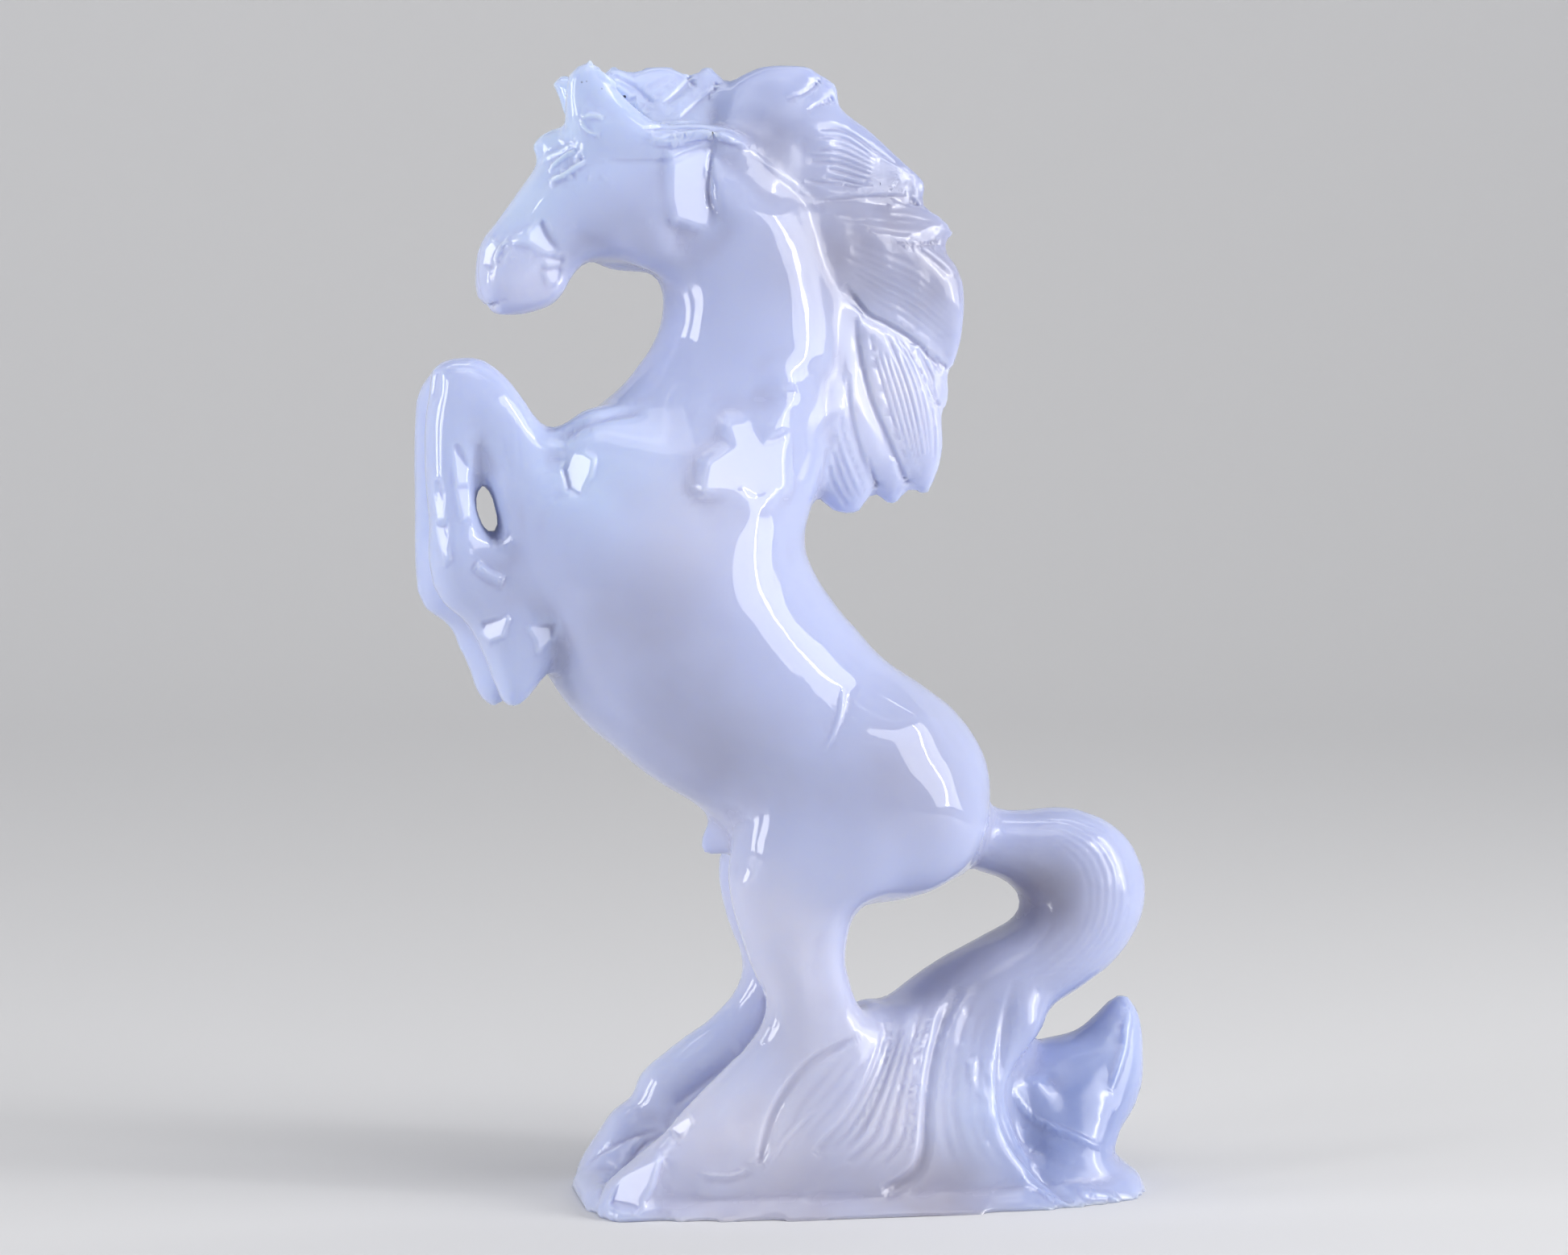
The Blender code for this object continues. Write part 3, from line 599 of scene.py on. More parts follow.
# %% Hold the wheel flat
RIGHT_LAMP = Vector((0.51, -0.28, 0.30))
LEFT_LAMP = Vector((-0.61, -0.25, 0.21))
BACK_LAMP = Vector((-0.65, -0.03, 0.21))
WIDE_LAMP, NARROW_LAMP = math.radians(7.5), math.radians(2)
LAMPS = [(RIGHT_LAMP, WIDE_LAMP), (LEFT_LAMP, NARROW_LAMP), (BACK_LAMP, NARROW_LAMP)]
FACETS = [
    ([(836, 196), (882, 183), (873, 208), (875, 238), (881, 264), (876, 275), (860, 275), (839, 270),
      (836, 238)], 1.0),
    ([(643, 297), (673, 279), (682, 297), (691, 313), (669, 306), (658, 300)], 0.55),
    ([(678, 326), (688, 319), (697, 322), (691, 333), (680, 333)], 0.25),
    ([(676, 337), (694, 336), (691, 347), (682, 349)], 0.25),
    ([(608, 297), (614, 305), (609, 330), (603, 327), (602, 308)], 0.5),
    ([(876, 603), (880, 577), (918, 556), (908, 530), (926, 530), (947, 556), (967, 551), (969, 600),
      (941, 611),
      (923, 600)], 1.3),
    ([(703, 585), (709, 572), (723, 565), (735, 570), (731, 588), (718, 608), (708, 604)], 0.5),
    ([(567, 555), (578, 577), (579, 605), (568, 606), (565, 577)], 0.3),
    ([(568, 607), (579, 606), (581, 640), (574, 643)], 0.3),
    ([(544, 600), (549, 629), (551, 648), (544, 649), (542, 629)], 0.4),
    ([(544, 650), (551, 649), (556, 693), (552, 698), (547, 675)], 0.4),
    ([(535, 468), (542, 466), (540, 490), (534, 491)], 0.4),
    ([(602, 774), (629, 768), (622, 788), (607, 794), (600, 788)], 0.4),
    ([(658, 780), (687, 777), (680, 794), (669, 807), (667, 791)], 0.4),
    ([(764, 1492), (772, 1461), (813, 1437), (803, 1469), (789, 1494)], 1.6),
    ([(836, 1400), (853, 1384), (857, 1393), (843, 1409)], 0.5),
    ([(1205, 1319), (1214, 1319), (1222, 1340), (1226, 1363), (1214, 1351), (1207, 1336)], 0.3),
    ([(1343, 1477), (1366, 1481), (1375, 1488), (1350, 1487)], 0.4),
    ([(1132, 298), (1149, 304), (1178, 338), (1173, 341), (1149, 321)], 0.3),
]
DULL_FACETS = [
    ([(975, 478), (998, 478), (1002, 560), (990, 590), (984, 545)], 0.8),
    ([(1090, 264), (1120, 262), (1152, 270), (1162, 283), (1140, 289), (1098, 285)], 0.4),
]
OUT_OF_THE_LIGHT = math.radians(17)
NARROWEST_RIM = 0.7 * MM
LIT_RIM, DULL_RIM = 0.25, 0.8
FACET_REACH = 3.5 * MM
OUTLINE_WIDTH = 0.8


def pixels_of(points):
    """Where the camera sees each point, in the photograph's pixels."""
    away = points - np.array(camera_place)
    depth = away @ np.array(look)
    u = PHOTO_WIDTH / 2 + focal_pixels * (away @ np.array(picture_right)) / depth
    v = PHOTO_HEIGHT / 2 - focal_pixels * (away @ np.array(picture_up)) / depth
    return np.stack([u, v], 1)


def inside_by(pixels, corners):
    """How many pixels each place lies inside a shape, or below zero outside it."""
    nearest = np.full(len(pixels), np.inf)
    inside = np.zeros(len(pixels), bool)
    for a, b in zip(corners, np.roll(corners, -1, axis=0)):
        side = b - a
        along = np.clip((pixels - a) @ side / (side @ side), 0, 1)
        nearest = np.minimum(nearest, np.linalg.norm(pixels - a - along[:, None] * side, axis=1))
        level_with = (a[1] > pixels[:, 1]) != (b[1] > pixels[:, 1])
        crossing = a[0] + (pixels[:, 1] - a[1]) * side[0] / (side[1] or 1)
        inside ^= level_with & (pixels[:, 0] < crossing)
    return np.where(inside, nearest, -nearest)


def turned_facing(facing, centre, lit):
    """The facing nearest to the given one that shows a lamp to the camera, or that hides it."""
    to_camera = (camera_place - centre).normalized()
    choices = []
    for lamp, spread in LAMPS:
        halfway = ((lamp - centre).normalized() + to_camera).normalized()
        angle = facing.angle(halfway)
        turn = max(0, angle - spread) if lit else min(0, angle - OUT_OF_THE_LIGHT)
        choices.append((angle, turn, halfway))
    _, turn, halfway = min(choices, key=lambda choice: choice[0])
    return Quaternion(facing.cross(halfway), turn) @ facing, math.degrees(turn)


def hold_flat(piece, drawing, shape, deepest, lit=True):
    mesh = piece.data
    points, facing = points_of(mesh), facing_of(mesh)
    corners = np.array(shape, float)
    inside = inside_by(pixels_of(points), corners) / PIXELS_PER_MM * MM
    middle, _ = drawing.near_side(*corners.mean(axis=0))
    near = (facing @ np.array(look) < -FACES_CAMERA) & (np.abs(points[:, 1] - middle.y) < FACET_REACH)
    core = near & (inside > 0)
    centre, mean_facing = points[core].mean(axis=0), facing[core].mean(axis=0)
    plane, turn = turned_facing(Vector(mean_facing).normalized(), Vector(centre), lit)
    size = math.sqrt(np.ptp(corners[:, 0]) * np.ptp(corners[:, 1])) / PIXELS_PER_MM * MM
    rim = max(NARROWEST_RIM, (LIT_RIM if lit else DULL_RIM) * size)
    share = near * np.clip(1 + inside / rim, 0, 1)
    share = share * share * (3 - 2 * share)
    to_plane = -((points - centre) @ np.array(plane)) / plane.y
    lift = share * np.clip(to_plane, -deepest * MM, deepest * MM)
    points[:, 1] += lift
    set_points(mesh, points)
    print("facet at", [round(c) for c in corners.mean(axis=0)], "turned", round(turn, 1), "degrees, moved",
          round(float(np.abs(lift).max()) / MM, 2), "mm")


outlines = Drawing(horse)
for shape, _ in FACETS + DULL_FACETS:
    outlines.line(shape + shape[:1], 0, OUTLINE_WIDTH)
refine(horse, outlines, 0.3 * MM, far_too=False)
refine(horse, outlines, 0.0, far_too=False)
for shape, deepest in DULL_FACETS:
    hold_flat(horse, outlines, shape, deepest, lit=False)
for shape, deepest in FACETS:
    hold_flat(horse, outlines, shape, deepest)

# %% [markdown]
# Hair is carved in locks before it is carved in strands. Each lock lies a little over the next, so its
# edge is a step: steep on the upper lock, and running out slowly on the lower one. Where two tips part on
# the outline, a nick is cut right round the thin rim.

# %% Part the locks
LOCK_STEPS = [
    ([(822, 130), (842, 112), (857, 97)], 0.25, 0.4, 1.2),
    ([(840, 150), (862, 130), (880, 115), (889, 106)], 0.3, 0.4, 1.4),
    ([(975, 124), (998, 115), (1016, 102)], 0.15, 0.5, 1.2),
    ([(1000, 138), (1016, 132), (1036, 122)], 0.15, 0.5, 1.2),
    ([(1010, 250), (1040, 247), (1085, 244), (1120, 245), (1141, 251)], 0.3, 0.45, 2.4),
    ([(1100, 300), (1130, 303), (1160, 302)], 0.2, 0.4, 1.2),
    ([(1048, 352), (1062, 370), (1080, 390), (1100, 400), (1125, 415), (1150, 435),
      (1172, 457)], 0.5, 0.45, 1.8),
    ([(1140, 430), (1155, 462), (1164, 503)], 0.25, 0.45, 1.2),
    ([(1062, 392), (1068, 440), (1080, 490), (1098, 535), (1114, 572), (1126, 600)], 0.35, 0.5, 1.6),
    ([(1052, 470), (1058, 520), (1070, 565), (1088, 606)], 0.25, 0.5, 1.6),
    ([(1098, 1268), (1096, 1292), (1084, 1328), (1068, 1362), (1048, 1392), (1028, 1413),
      (1010, 1432)], 0.3, 1.2, 0.8),
    ([(1192, 1222), (1174, 1258), (1162, 1298), (1154, 1345), (1150, 1390), (1148, 1425), (1138, 1452),
      (1116, 1470),
      (1094, 1478)], 0.9, 1.6, 1.2),
    ([(1262, 1215), (1248, 1262), (1243, 1300), (1240, 1340), (1241, 1372), (1247, 1400), (1262, 1428),
      (1283, 1453),
      (1306, 1474), (1330, 1494)], 0.4, 1.6, 0.9),
    ([(1068, 1284), (1035, 1300), (1003, 1320), (975, 1352), (955, 1390), (946, 1425),
      (943, 1445)], 0.4, 1.0, 0.7),
    ([(945, 1215), (950, 1240), (944, 1268), (926, 1298), (900, 1323), (870, 1347),
      (838, 1371)], 0.3, 0.5, 1.2),
]
NICKS = [
    [(990, 122), (1006, 110), (1017, 101)],
    [(862, 106), (858, 100), (856, 96)],
    [(884, 116), (887, 110), (889, 105)],
    [(616, 377), (607, 380), (599, 383)],
    [(1005, 135), (1022, 128), (1034, 122)],
    [(1110, 247), (1128, 250), (1140, 252)],
    [(1125, 303), (1147, 303), (1162, 301)],
    [(1152, 434), (1164, 446), (1174, 456)],
    [(1150, 470), (1160, 490), (1166, 503)],
    [(1112, 572), (1119, 588), (1126, 598)],
    [(1077, 570), (1083, 588), (1088, 602)],
]
LOCK_ENDS = (0.2, 0.08)
LOCKS_BEYOND = 0.8
NICK_CUT, NICK_WIDTH = 0.5, 0.5
locks = Drawing(horse)
for pixels, cut, *widths in LOCK_STEPS:
    locks.line(pixels, cut, *widths, ends=LOCK_ENDS, far=LOCKS_BEYOND)
for pixels in NICKS:
    locks.notch(pixels, NICK_CUT, NICK_WIDTH)
refine(horse, locks, 0.2 * MM, wide=False)
refine(horse, locks, 0.1 * MM, wide=False, far_too=False)
engrave(horse, locks, "Lock edges")

# %% [markdown]
# The strands are the finest repeated thing on the carving, a shallow line each millimetre or less. Each
# lock is drawn only by its two edges, and the strands between them are worked out: they close up where
# the lock narrows, waver a little, and die away at both ends as a wheel leaves the stone. A fixed seed
# keeps them the same each time. The far side has every second strand, cut wider.

# %% Comb the hair
HAIR = [
    ([(790, 112), (805, 100), (825, 92)], [(835, 150), (862, 128), (884, 108)], 4, 0.08),
    ([(995, 160), (1045, 158), (1090, 188), (1125, 210), (1146, 232)],
     [(990, 228), (1030, 233), (1070, 238), (1110, 239), (1146, 247)], 9, 0.26),
    ([(1010, 255), (1070, 258), (1130, 265), (1165, 275)],
     [(1030, 290), (1080, 290), (1130, 294), (1172, 297)], 3, 0.03),
    ([(1035, 290), (1090, 308), (1140, 330), (1184, 372)],
     [(1055, 350), (1090, 378), (1130, 402), (1176, 440)], 8, 0.07),
    ([(1108, 410), (1130, 432), (1152, 475), (1163, 530), (1160, 588)],
     [(1074, 396), (1082, 440), (1096, 490), (1113, 545), (1133, 596)], 8, 0.3),
    ([(1138, 430), (1158, 445), (1174, 468), (1178, 495)],
     [(1132, 426), (1148, 455), (1160, 480), (1168, 500)], 3, 0.12),
    ([(1048, 500), (1052, 540), (1066, 575), (1080, 612)],
     [(1026, 570), (1030, 600), (1038, 618), (1050, 632)], 4, 0.16),
    ([(1275, 1010), (1330, 1012), (1380, 1035), (1405, 1085), (1398, 1150), (1356, 1205), (1290, 1245)],
     [(1262, 1030), (1310, 1050), (1342, 1090), (1338, 1150), (1300, 1195), (1240, 1235)], 6, 0.055),
]
hair = Drawing(horse)
for seed, (one_edge, other_edge, count, cut) in enumerate(HAIR):
    hair.hair(one_edge, other_edge, count, cut, seed)
refine(horse, hair, 0.12 * MM, far_too=False)
refine(horse, hair, 0.0, far_too=False)
engrave(horse, hair, "Mane strands")

# %% [markdown]
# The tail falls to the ground in long strands that close up at the top and spread on the ground. They are
# combed like the mane, only wider and deeper, and the curl beside them has a few raised folds instead.

# %% Draw the tail's fall
FALL_HAIR = [
    ([(1102, 1262), (1100, 1292), (1088, 1328), (1072, 1362), (1052, 1392), (1032, 1413), (1012, 1434)],
     [(1180, 1228), (1166, 1262), (1156, 1300), (1148, 1350), (1145, 1390), (1138, 1430),
      (1100, 1462)], 6, 0.32),
    ([(1068, 1284), (1020, 1312), (975, 1352), (955, 1390), (943, 1445)],
     [(1094, 1276), (1084, 1310), (1058, 1358), (1032, 1388), (992, 1430)], 4, 0.14),
    ([(1200, 1225), (1180, 1262), (1168, 1300), (1160, 1350), (1160, 1400), (1170, 1440), (1190, 1468)],
     [(1250, 1225), (1236, 1262), (1228, 1300), (1224, 1345), (1230, 1390), (1250, 1430),
      (1290, 1470)], 4, 0.1),
    ([(1250, 1366), (1290, 1402), (1350, 1425)], [(1262, 1400), (1300, 1440), (1352, 1462)], 3, 0.05),
]
FALL_RIDGES = [
    ([(1268, 1461), (1290, 1477), (1312, 1490), (1334, 1498)], -0.25, 0.5),
    ([(1256, 1352), (1268, 1372), (1284, 1388), (1305, 1398), (1345, 1414), (1368, 1424)], -0.25, 0.7, 0.8),
    ([(1402, 1250), (1398, 1280), (1394, 1306), (1386, 1332), (1377, 1356)], -0.35, 0.7, 0.9),
    ([(1352, 1482), (1372, 1484), (1390, 1489)], -0.2, 0.7, 0.9),
    ([(948, 1460), (958, 1438), (972, 1416), (990, 1396), (1015, 1375)], -0.15, 0.5),
]
CUT_ENDS = (0.25, 0.25)
fall = Drawing(horse)
for seed, (one_edge, other_edge, count, cut) in enumerate(FALL_HAIR):
    fall.hair(one_edge, other_edge, count, cut, seed, waves=0.03, widest=0.85)
refine(horse, fall, 0.1 * MM, far_too=False)
engrave(horse, fall, "Fall strands")


def cut_lines(rows, name, margin, splits=1):
    """Refines the skin along the rows' lines and cuts them."""
    drawing = Drawing(horse)
    for pixels, cut, *widths in rows:
        drawing.line(pixels, cut, *widths, ends=CUT_ENDS, far=1)
    for split in range(splits):
        refine(horse, drawing, margin if split == 0 else 0.0, wide=False, far_too=split == 0)
    engrave(horse, drawing, name)


cut_lines(FALL_RIDGES, "Fall ridges", 0.3 * MM, splits=2)

# %% [markdown]
# The face is cut late, with the finest tools, since a slip there can't be mended. The eye is a slit
# between two raised lids, the nostril is a soft hollow in a crescent rim, and the corner of the mouth is
# two short cuts. The marks are a few tenths of a millimetre, so the squares around them are split twice.

# %% Cut the face
FACE_GROOVES = [
    ([(750, 90), (772, 98), (790, 110), (805, 125), (818, 133)], 0.2, 0.6, 0.4),
    ([(797, 160), (840, 158), (875, 160), (900, 165)], 0.25, 0.45),
    ([(808, 183), (840, 182), (865, 176), (885, 174), (905, 178), (918, 182)], 0.25, 0.4, 0.7),
    ([(749, 199), (800, 198), (835, 197), (850, 191), (883, 180)], 0.15, 0.4, 0.9),
    ([(885, 184), (881, 205), (879, 235), (882, 262)], 0.35, 0.4),
    ([(629, 304), (622, 315), (618, 328)], 0.2, 0.8),
    ([(600, 380), (612, 378), (630, 370)], 0.15, 0.4),
    ([(657, 320), (675, 318), (694, 314)], 0.12, 0.6),
    ([(668, 334), (683, 333), (698, 332)], 0.12, 0.5),
    ([(599, 300), (594, 318), (593, 345), (597, 368)], 0.08, 0.5),
]
FACE_RIDGES = [
    ([(738, 84), (758, 103), (783, 121), (797, 139), (815, 149)], -0.5, 0.7, 0.8),
    ([(721, 147), (724, 156), (732, 163), (746, 167)], -0.3, 0.4, 0.45),
    ([(719, 146), (735, 143), (752, 147)], -0.3, 0.45),
    ([(699, 108), (702, 114), (705, 120)], -0.15, 0.3),
    ([(798, 157), (840, 152), (876, 152)], -0.15, 0.45),
    ([(800, 174), (830, 172), (868, 166), (892, 168), (912, 175), (932, 184)], -0.55, 0.8),
    ([(925, 181), (945, 198), (965, 214), (990, 232), (1010, 252)], -0.1, 0.6, 0.8),
    ([(631, 297), (620, 308), (612, 327)], -0.25, 0.4),
    ([(641, 315), (632, 324), (627, 332)], -0.12, 0.3),
    ([(697, 294), (705, 285), (717, 278)], -0.08, 0.6),
    ([(797, 273), (812, 278)], -0.06, 0.3),
    ([(728, 221), (735, 220)], -0.15, 0.3),
    ([(746, 216), (750, 221), (756, 225)], -0.15, 0.3),
    ([(711, 236), (717, 234)], -0.08, 0.3),
    ([(1128, 298), (1145, 307), (1165, 322), (1186, 340)], -0.25, 0.6, 0.9),
]
cut_lines(FACE_GROOVES, "Face grooves", 0.2 * MM, splits=2)
cut_lines(FACE_RIDGES, "Face ridges", 0.2 * MM, splits=2)

EYE_LIDS = [
    ([(680, 226), (690, 221), (700, 217), (712, 209), (727, 199)], -0.55, 0.45, 0.6),
    ([(680, 214), (690, 204), (702, 194), (716, 186)], -0.5, 0.5),
    ([(672, 199), (690, 190), (714, 178)], -0.2, 0.5),
]
EYE_SLITS = [
    ([(690, 217), (700, 211), (712, 202), (725, 192)], 0.45, 0.35, 0.4),
    ([(686, 229), (700, 224), (716, 214)], 0.12, 0.5),
]
cut_lines(EYE_LIDS, "Eyelids", 0.2 * MM, splits=2)
cut_lines(EYE_SLITS, "Eye slits", 0.0, splits=0)

# %% [markdown]
# Most of the bright edges of the legs are facets by now. What is left is to part the hooves from the
# ground that they were cut from, and to raise a few thin ridges: on a foreleg, in the flank's fold and
# low on a hind leg.

# %% Edge the legs and the hooves
LEG_GROOVES = [
    ([(822, 1402), (800, 1405), (775, 1414), (745, 1430), (728, 1448)], 0.35, 0.5),
    ([(830, 1402), (806, 1414), (795, 1422), (780, 1440), (760, 1459), (747, 1473),
      (741, 1495)], 0.5, 0.6, 0.5),
    ([(833, 1376), (829, 1392), (833, 1408), (845, 1424)], 0.15, 0.5, 0.4),
    ([(866, 1460), (882, 1465), (900, 1466), (918, 1462), (934, 1452)], 0.15, 0.4, 0.8),
]
LEG_RIDGES = [
    ([(588, 699), (606, 713), (627, 722)], -0.5, 1.0),
    ([(1046, 850), (1044, 880), (1033, 915), (1020, 936)], -0.15, 0.5),
    ([(863, 1452), (880, 1457), (900, 1458), (916, 1455), (930, 1444), (936, 1432)], -0.18, 0.35),
    ([(947, 1446), (955, 1432), (963, 1420)], -0.25, 0.5),
    ([(944, 1296), (950, 1284), (957, 1272)], -0.2, 0.6),
]
cut_lines(LEG_GROOVES, "Leg grooves", 0.2 * MM)
cut_lines(LEG_RIDGES, "Leg ridges", 0.2 * MM, splits=2)
print("carved:", triangles_in(horse.data), "triangles")

# %% [markdown]
# Chalcedony is a quartz so fine that it looks cloudy: blue where light is scattered, greyer and warmer in
# the thick parts, and milky in bands. Paint would need a picture; here each cloud is a soft ball with a
# place and a reach, and every point of the mesh stores how much of each cloud it holds. Some balls are
# painted light and shade as well: the pale ones on the ears, the forehead, the chest and the forelegs are
# partly painted light from the left lamps, the warm ones on the belly and in the flank's hollow are partly
# painted shade, and the warm row along the ground is painted shade. The balls reach through the stone, so
# the far side shows the same clouds, fainter. Two more values are stored: one marks the hollows, which are
# painted darker as shade and polished less, and one marks the hair and the ground, which are too broken
# up for the wheel to bring to a full polish.

# %% Place the clouds and the painted light and shade in the stone
CLOUDS_AND_PAINTED_LIGHT = {
    # Pale: the balls on the ears, the forehead, the chest and the forelegs are partly painted light from the
    # left lamps.
    "pale": [
        ((715, 140), 9, 0.9), ((560, 520), 9, 0.3), ((545, 690), 9, 0.5), ((745, 590), 9, 0.9),
        ((850, 1300), 9, 0.8), ((640, 250), 7, 0.9), ((690, 180), 6, 0.8), ((620, 820), 9, 0.5),
        ((820, 130), 8, 0.5), ((1390, 1300), 6, 0.7), ((1200, 1400), 8, 0.7),
    ],
    "deep": [
        ((940, 125), 6, 0.5), ((1340, 1340), 9, 1.0), ((1300, 1420), 8, 0.6), ((1100, 200), 8, 0.4),
    ],
    # Warm: the balls on the belly and in the flank's hollow are partly painted shade; the row along the
    # ground at v 1500 is painted shade.
    "warm": [
        ((800, 300), 8, 0.3), ((1060, 300), 11, 0.7), ((1150, 350), 9, 0.6), ((960, 190), 6, 0.5),
        ((1290, 1110), 8, 0.9), ((900, 940), 12, 0.4), ((800, 800), 11, 0.45), ((1180, 1220), 9, 0.7),
        ((610, 740), 6, 0.4), ((1050, 1500), 9, 1.0), ((900, 1510), 8, 0.8), ((1180, 1500), 7, 0.7),
        ((1000, 1330), 8, 0.5), ((1130, 960), 9, 0.5), ((960, 1502), 7, 1.0), ((1150, 1502), 7, 1.0),
        ((1050, 1503), 5, 1.0),
    ],
    "milk": [
        ((960, 1170), 10, 0.8), ((900, 1400), 11, 0.9), ((870, 640), 9, 0.4), ((660, 370), 7, 0.5),
        ((1110, 1370), 9, 0.7), ((1110, 500), 8, 0.8), ((1050, 1300), 8, 0.5),
    ],
}
KINDS = tuple(CLOUDS_AND_PAINTED_LIGHT)
SATIN_PLACES = [
    ((1150, 260), 9), ((1130, 340), 10), ((1150, 450), 10), ((1120, 590), 8), ((1040, 590), 7),
    ((1115, 230), 9), ((1040, 150), 8), ((880, 110), 7), ((1340, 1060), 10), ((1370, 1150), 9),
    ((1250, 1240), 9), ((1170, 1250), 10), ((1100, 1300), 10), ((1020, 1390), 11), ((930, 1460), 10),
    ((1120, 1440), 11), ((1220, 1400), 11), ((1320, 1460), 10), ((1310, 1340), 9), ((1380, 1300), 8),
    ((1030, 1490), 9), ((1200, 1490), 9),
]
THROUGH = 0.35
HOLLOW_ROUNDS = 2
DEEPEST_HOLLOW = 0.08 * MM


def cloud_and_light_shares(piece):
    """How much of each kind of ball, cloud and painted light alike, every point holds, from 0 to 1."""
    drawing = Drawing(piece)
    points = points_of(piece.data)
    clear = np.ones((len(points), len(KINDS)))
    for column, kind in enumerate(KINDS):
        for pixel, reach, share in CLOUDS_AND_PAINTED_LIGHT[kind]:
            place, _ = drawing.near_side(*pixel)
            offset = (points - np.array(place)) / (reach * MM)
            offset[:, 1] *= THROUGH
            clear[:, column] *= 1 - share * np.exp(-(offset**2).sum(1))
    return 1 - clear


def hollows(piece):
    """1 in the bottom of a cut, 0 on flat stone and on ridges."""
    mesh = piece.data
    points = points_of(mesh)
    lift = ((neighbour_mean(points, mesh, HOLLOW_ROUNDS) - points) * facing_of(mesh)).sum(1)
    return np.clip(lift / DEEPEST_HOLLOW, 0, 1)


shares = cloud_and_light_shares(horse)
horse.data.attributes.new("clouds_and_light", "FLOAT_COLOR", "POINT").data.foreach_set("color", shares.ravel())
horse.data.attributes.new("hollow", "FLOAT", "POINT").data.foreach_set("value", hollows(horse))
satin = share_of(horse, FELTED_HAIR + SATIN_PLACES)
horse.data.attributes.new("satin", "FLOAT", "POINT").data.foreach_set("value", satin)
placed = sum(len(rows) for rows in CLOUDS_AND_PAINTED_LIGHT.values())
print("clouds:", placed, "placed, mean share", [round(float(mean), 2) for mean in shares.mean(axis=0)])

# %% [markdown]
# Light goes into polished chalcedony, scatters and comes out again a few millimetres away, which is why
# thin parts glow and shadows stay pale. Subsurface scattering does that, with blue scattered furthest.
# The clouds, painted light and shade among them, only change the colour a little, and a slow noise breaks
# their round edges. The hollows are tinted darker as painted shade, and four nearly black spots are painted
# near the ear where the stone has small pits: the pits are not carved, so the spots are partly painted
# shade and partly the pits' own dark. The polish is a low roughness on the body, so each facet mirrors its
# lamp. It is satin in the hair and dull in the hollows.

# %% Mix the stone
BODY = (0.54, 0.595, 0.845, 1)
# The pale and warm tones also carry painted light and painted shade.
TONES = {
    "pale": (0.59, 0.69, 0.96, 1),
    "deep": (0.28, 0.34, 0.60, 1),
    "warm": (0.36, 0.35, 0.45, 1),
    "milk": (0.70, 0.70, 0.83, 1),
}
# Painted shade: the bottoms of the cuts are tinted towards this tone.
HOLLOW_SHADE_TONE = (0.40, 0.40, 0.58, 1)
# Dark spots painted where the ear has small pits, which are not carved: partly painted shade for their
# hollows, partly their own dark.
PITS = [
    ((775, 120), 0.26, 0.95), ((722, 102), 0.16, 0.4), ((728, 101), 0.12, 0.35), ((747, 110), 0.13, 0.35),
]
PIT_DARK_AND_SHADE = (0.02, 0.02, 0.04, 1)
PIT_CORE = 0.6
POLISH, HOLLOW_POLISH, SATIN_POLISH = 0.02, 0.3, 0.17
MIST_SCALE, MIST_DETAIL = 70, 3
MIST_LOW, MIST_HIGH = 0.3, 0.7
THINNEST, THICKEST = 0.55, 1.25
HOLLOW_SHADE = 0.25
CHALCEDONY_IOR = 1.54
SCATTER_COLOURS = (0.8, 0.9, 1.0)
SCATTER_REACH = 1.5 * MM


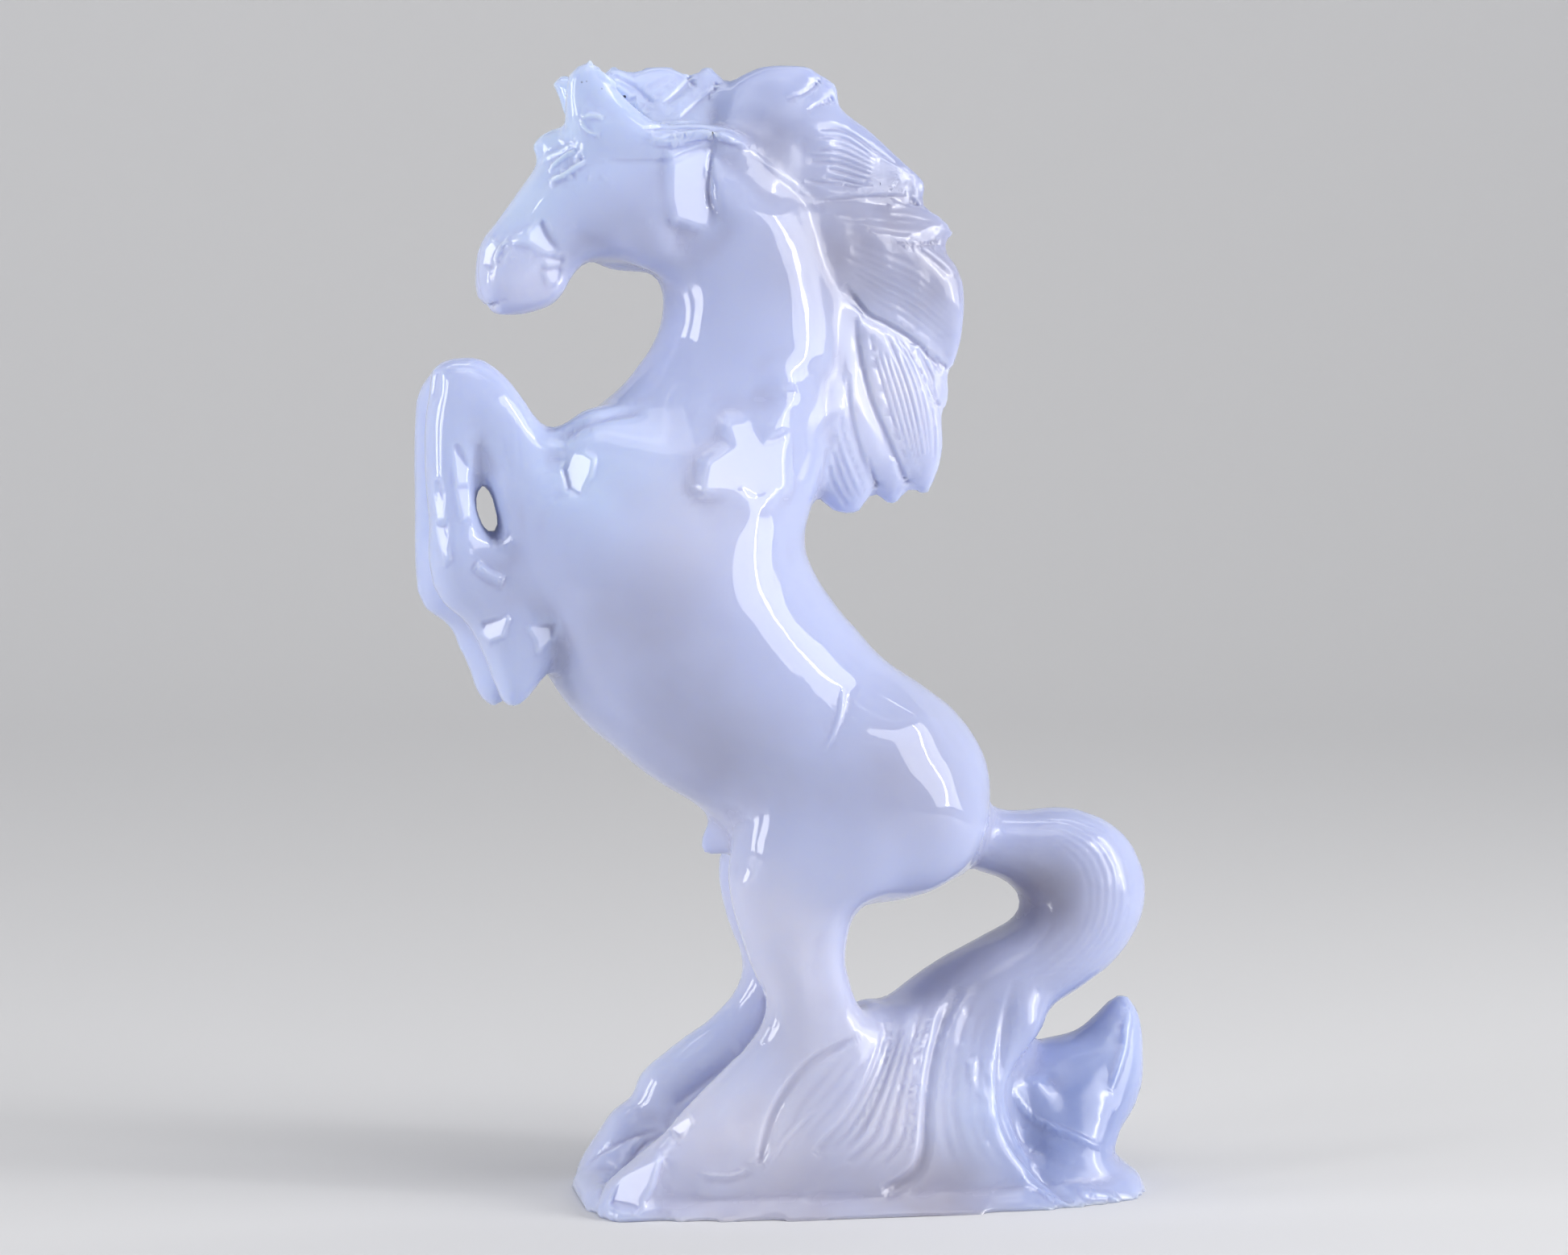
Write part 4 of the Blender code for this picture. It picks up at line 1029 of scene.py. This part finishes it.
def finish_stone(material):
    material.use_nodes = True
    nodes, links = material.node_tree.nodes, material.node_tree.links
    sums = maths_in(nodes, links)

    def stored(name):
        node = nodes.new("ShaderNodeAttribute")
        node.attribute_name = name
        return node.outputs

    def carried(value, to_low, to_high, low=0.0, high=1.0):
        """The value carried from one range into another."""
        node = nodes.new("ShaderNodeMapRange")
        ends = {"From Min": low, "From Max": high, "To Min": to_low, "To Max": to_high}
        for title, end in ends.items():
            node.inputs[title].default_value = end
        links.new(value, node.inputs["Value"])
        return node.outputs["Result"]

    def tinted(colour, amount, tone):
        """The colour so far, with some of a tone mixed in."""
        node = nodes.new("ShaderNodeMix")
        node.data_type = "RGBA"
        links.new(amount, node.inputs["Factor"])
        if isinstance(colour, tuple):
            node.inputs["A"].default_value = colour
        else:
            links.new(colour, node.inputs["A"])
        node.inputs["B"].default_value = tone
        return node.outputs["Result"]

    place = nodes.new("ShaderNodeTexCoord").outputs["Object"]
    mist = nodes.new("ShaderNodeTexNoise")
    mist.inputs["Scale"].default_value = MIST_SCALE
    mist.inputs["Detail"].default_value = MIST_DETAIL
    mist.inputs["Roughness"].default_value = 0.5
    links.new(place, mist.inputs["Vector"])
    thickness = carried(mist.outputs["Fac"], THINNEST, THICKEST, MIST_LOW, MIST_HIGH)
    clouds_and_light = stored("clouds_and_light")
    parts = nodes.new("ShaderNodeSeparateColor")
    links.new(clouds_and_light["Color"], parts.inputs["Color"])
    amounts = [parts.outputs["Red"], parts.outputs["Green"], parts.outputs["Blue"], clouds_and_light["Alpha"]]
    # The cloud tones include painted light (some pale balls) and painted shade (some warm balls).
    colour = BODY
    for kind, amount in zip(KINDS, amounts):
        colour = tinted(colour, sums("MULTIPLY", amount, thickness), TONES[kind])
    hollow = stored("hollow")["Fac"]
    # Painted shade in the hollows.
    colour = tinted(colour, sums("MULTIPLY", hollow, HOLLOW_SHADE), HOLLOW_SHADE_TONE)
    # Painted dark spots at the uncarved pits: partly painted shade, partly the pits' own dark.
    skin = Drawing(horse)
    for pixel, reach, share in PITS:
        away = nodes.new("ShaderNodeVectorMath")
        away.operation = "DISTANCE"
        links.new(place, away.inputs[0])
        away.inputs[1].default_value = skin.near_side(*pixel)[0]
        inside = carried(away.outputs["Value"], share, 0, PIT_CORE * reach * MM, reach * MM)
        colour = tinted(colour, inside, PIT_DARK_AND_SHADE)
    in_hollows = carried(hollow, POLISH, HOLLOW_POLISH)
    in_hair = carried(stored("satin")["Fac"], POLISH, SATIN_POLISH)
    shader = nodes["Principled BSDF"]
    links.new(colour, shader.inputs["Base Color"])
    links.new(sums("MAXIMUM", in_hollows, in_hair), shader.inputs["Roughness"])
    shader.inputs["IOR"].default_value = CHALCEDONY_IOR
    shader.inputs["Subsurface Weight"].default_value = 1.0
    shader.inputs["Subsurface Radius"].default_value = SCATTER_COLOURS
    shader.inputs["Subsurface Scale"].default_value = SCATTER_REACH
    print("stone:", len(nodes), "nodes")


finish_stone(stone_finish)

# %% [markdown]
# The photograph was lit softly from both sides. Softboxes show as bright shapes on a polished stone: the
# wide one at the right gives the pale band down the neck, and a narrow tube in front of it gives the thin
# bright line in the middle of that band. The horse stands in a round bowl of pale paper, whose floor
# curves up into its wall, so no corner shows behind it from any side, and the lit paper fills the
# shadows. The two paper lights serve the photograph's view: seen from the ends, the paper is very bright
# below and grey above.

# %% Light the studio
LIGHTS = [
    ("Right softbox", RIGHT_LAMP, (0.44, 0.50), 4.0, LOOKED_AT),
    ("Right tube", Vector((0.49, -0.27, 0.29)), (0.03, 0.46), 18, LOOKED_AT),
    ("Left window, front pane", LEFT_LAMP, (0.14, 0.38), 7.0, LOOKED_AT),
    ("Left window, back pane", BACK_LAMP, (0.14, 0.38), 7.0, LOOKED_AT),
    ("Top softbox", Vector((0.0, -0.2, 0.6)), (0.4, 0.4), 1.5, LOOKED_AT),
    ("Paper light, back", Vector((0.0, 0.4, 1.3)), (1.6, 0.6), 3.3, Vector((0, 1.6, 0.5))),
    ("Paper light, front", Vector((0.0, -0.6, 1.3)), (1.6, 0.6), 0.9, Vector((0, -1.6, 0.4))),
]
WORLD_TONE = (0.05, 0.052, 0.06, 1)
PAPER_TONE = (0.75, 0.75, 0.76, 1)
PAPER_ROUGHNESS = 0.9
FLOOR_RADIUS, BOWL_RADIUS, BOWL_RISE, WALL_TOP = 0.7, 1.6, 0.9, 1.2
HUB_RADIUS = 0.05
BOWL_SEGMENTS, CURVE_RINGS = 96, 25


def softbox(name, place, size, radiance, towards):
    """A lamp of one size that sends out the same light from each point of its face."""
    light = bpy.data.lights.new(name, "AREA")
    light.shape = "RECTANGLE"
    light.size, light.size_y = size
    light.energy = radiance * math.pi * size[0] * size[1]
    lamp = bpy.data.objects.new(name, light)
    bpy.context.scene.collection.objects.link(lamp)
    lamp.location = place
    lamp.rotation_euler = (towards - lamp.location).to_track_quat("-Z", "Y").to_euler()


for row in LIGHTS:
    softbox(*row)
world = bpy.data.worlds.new("Studio")
world.use_nodes = True
world.node_tree.nodes["Background"].inputs["Color"].default_value = WORLD_TONE
bpy.context.scene.world = world
bpy.context.scene.view_settings.view_transform = "Standard"

bowl_side = [(HUB_RADIUS, 0.0), (FLOOR_RADIUS / 2, 0.0)]
for turn in np.linspace(0, math.pi / 2, CURVE_RINGS):
    radius = FLOOR_RADIUS + (BOWL_RADIUS - FLOOR_RADIUS) * math.sin(turn)
    bowl_side.append((radius, BOWL_RISE * (1 - math.cos(turn))))
bowl_side.append((BOWL_RADIUS, WALL_TOP))
bowl = bmesh.new()
turns = [2 * math.pi * k / BOWL_SEGMENTS for k in range(BOWL_SEGMENTS)]
rings = []
for radius, height in bowl_side:
    rings.append([bowl.verts.new((radius * math.cos(turn), radius * math.sin(turn), height))
                  for turn in turns])
bowl.faces.new(rings[0])
for inner, outer in zip(rings, rings[1:]):
    for k in range(BOWL_SEGMENTS):
        after = (k + 1) % BOWL_SEGMENTS
        bowl.faces.new((inner[k], outer[k], outer[after], inner[after]))
bowl_mesh = bpy.data.meshes.new("Floor")
bowl.to_mesh(bowl_mesh)
bowl.free()
floor = new_piece("Floor", bowl_mesh)
floor.data.shade_smooth()
paper = bpy.data.materials.new("Pale paper")
paper.use_nodes = True
paper_shader = paper.node_tree.nodes["Principled BSDF"]
paper_shader.inputs["Base Color"].default_value = PAPER_TONE
paper_shader.inputs["Roughness"].default_value = PAPER_ROUGHNESS
floor.data.materials.append(paper)
print("studio:", len(LIGHTS), "lamps, bowl of", len(bowl_mesh.polygons), "faces")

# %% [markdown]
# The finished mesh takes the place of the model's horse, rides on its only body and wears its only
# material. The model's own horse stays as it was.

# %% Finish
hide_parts("horse")
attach(horse, "root")
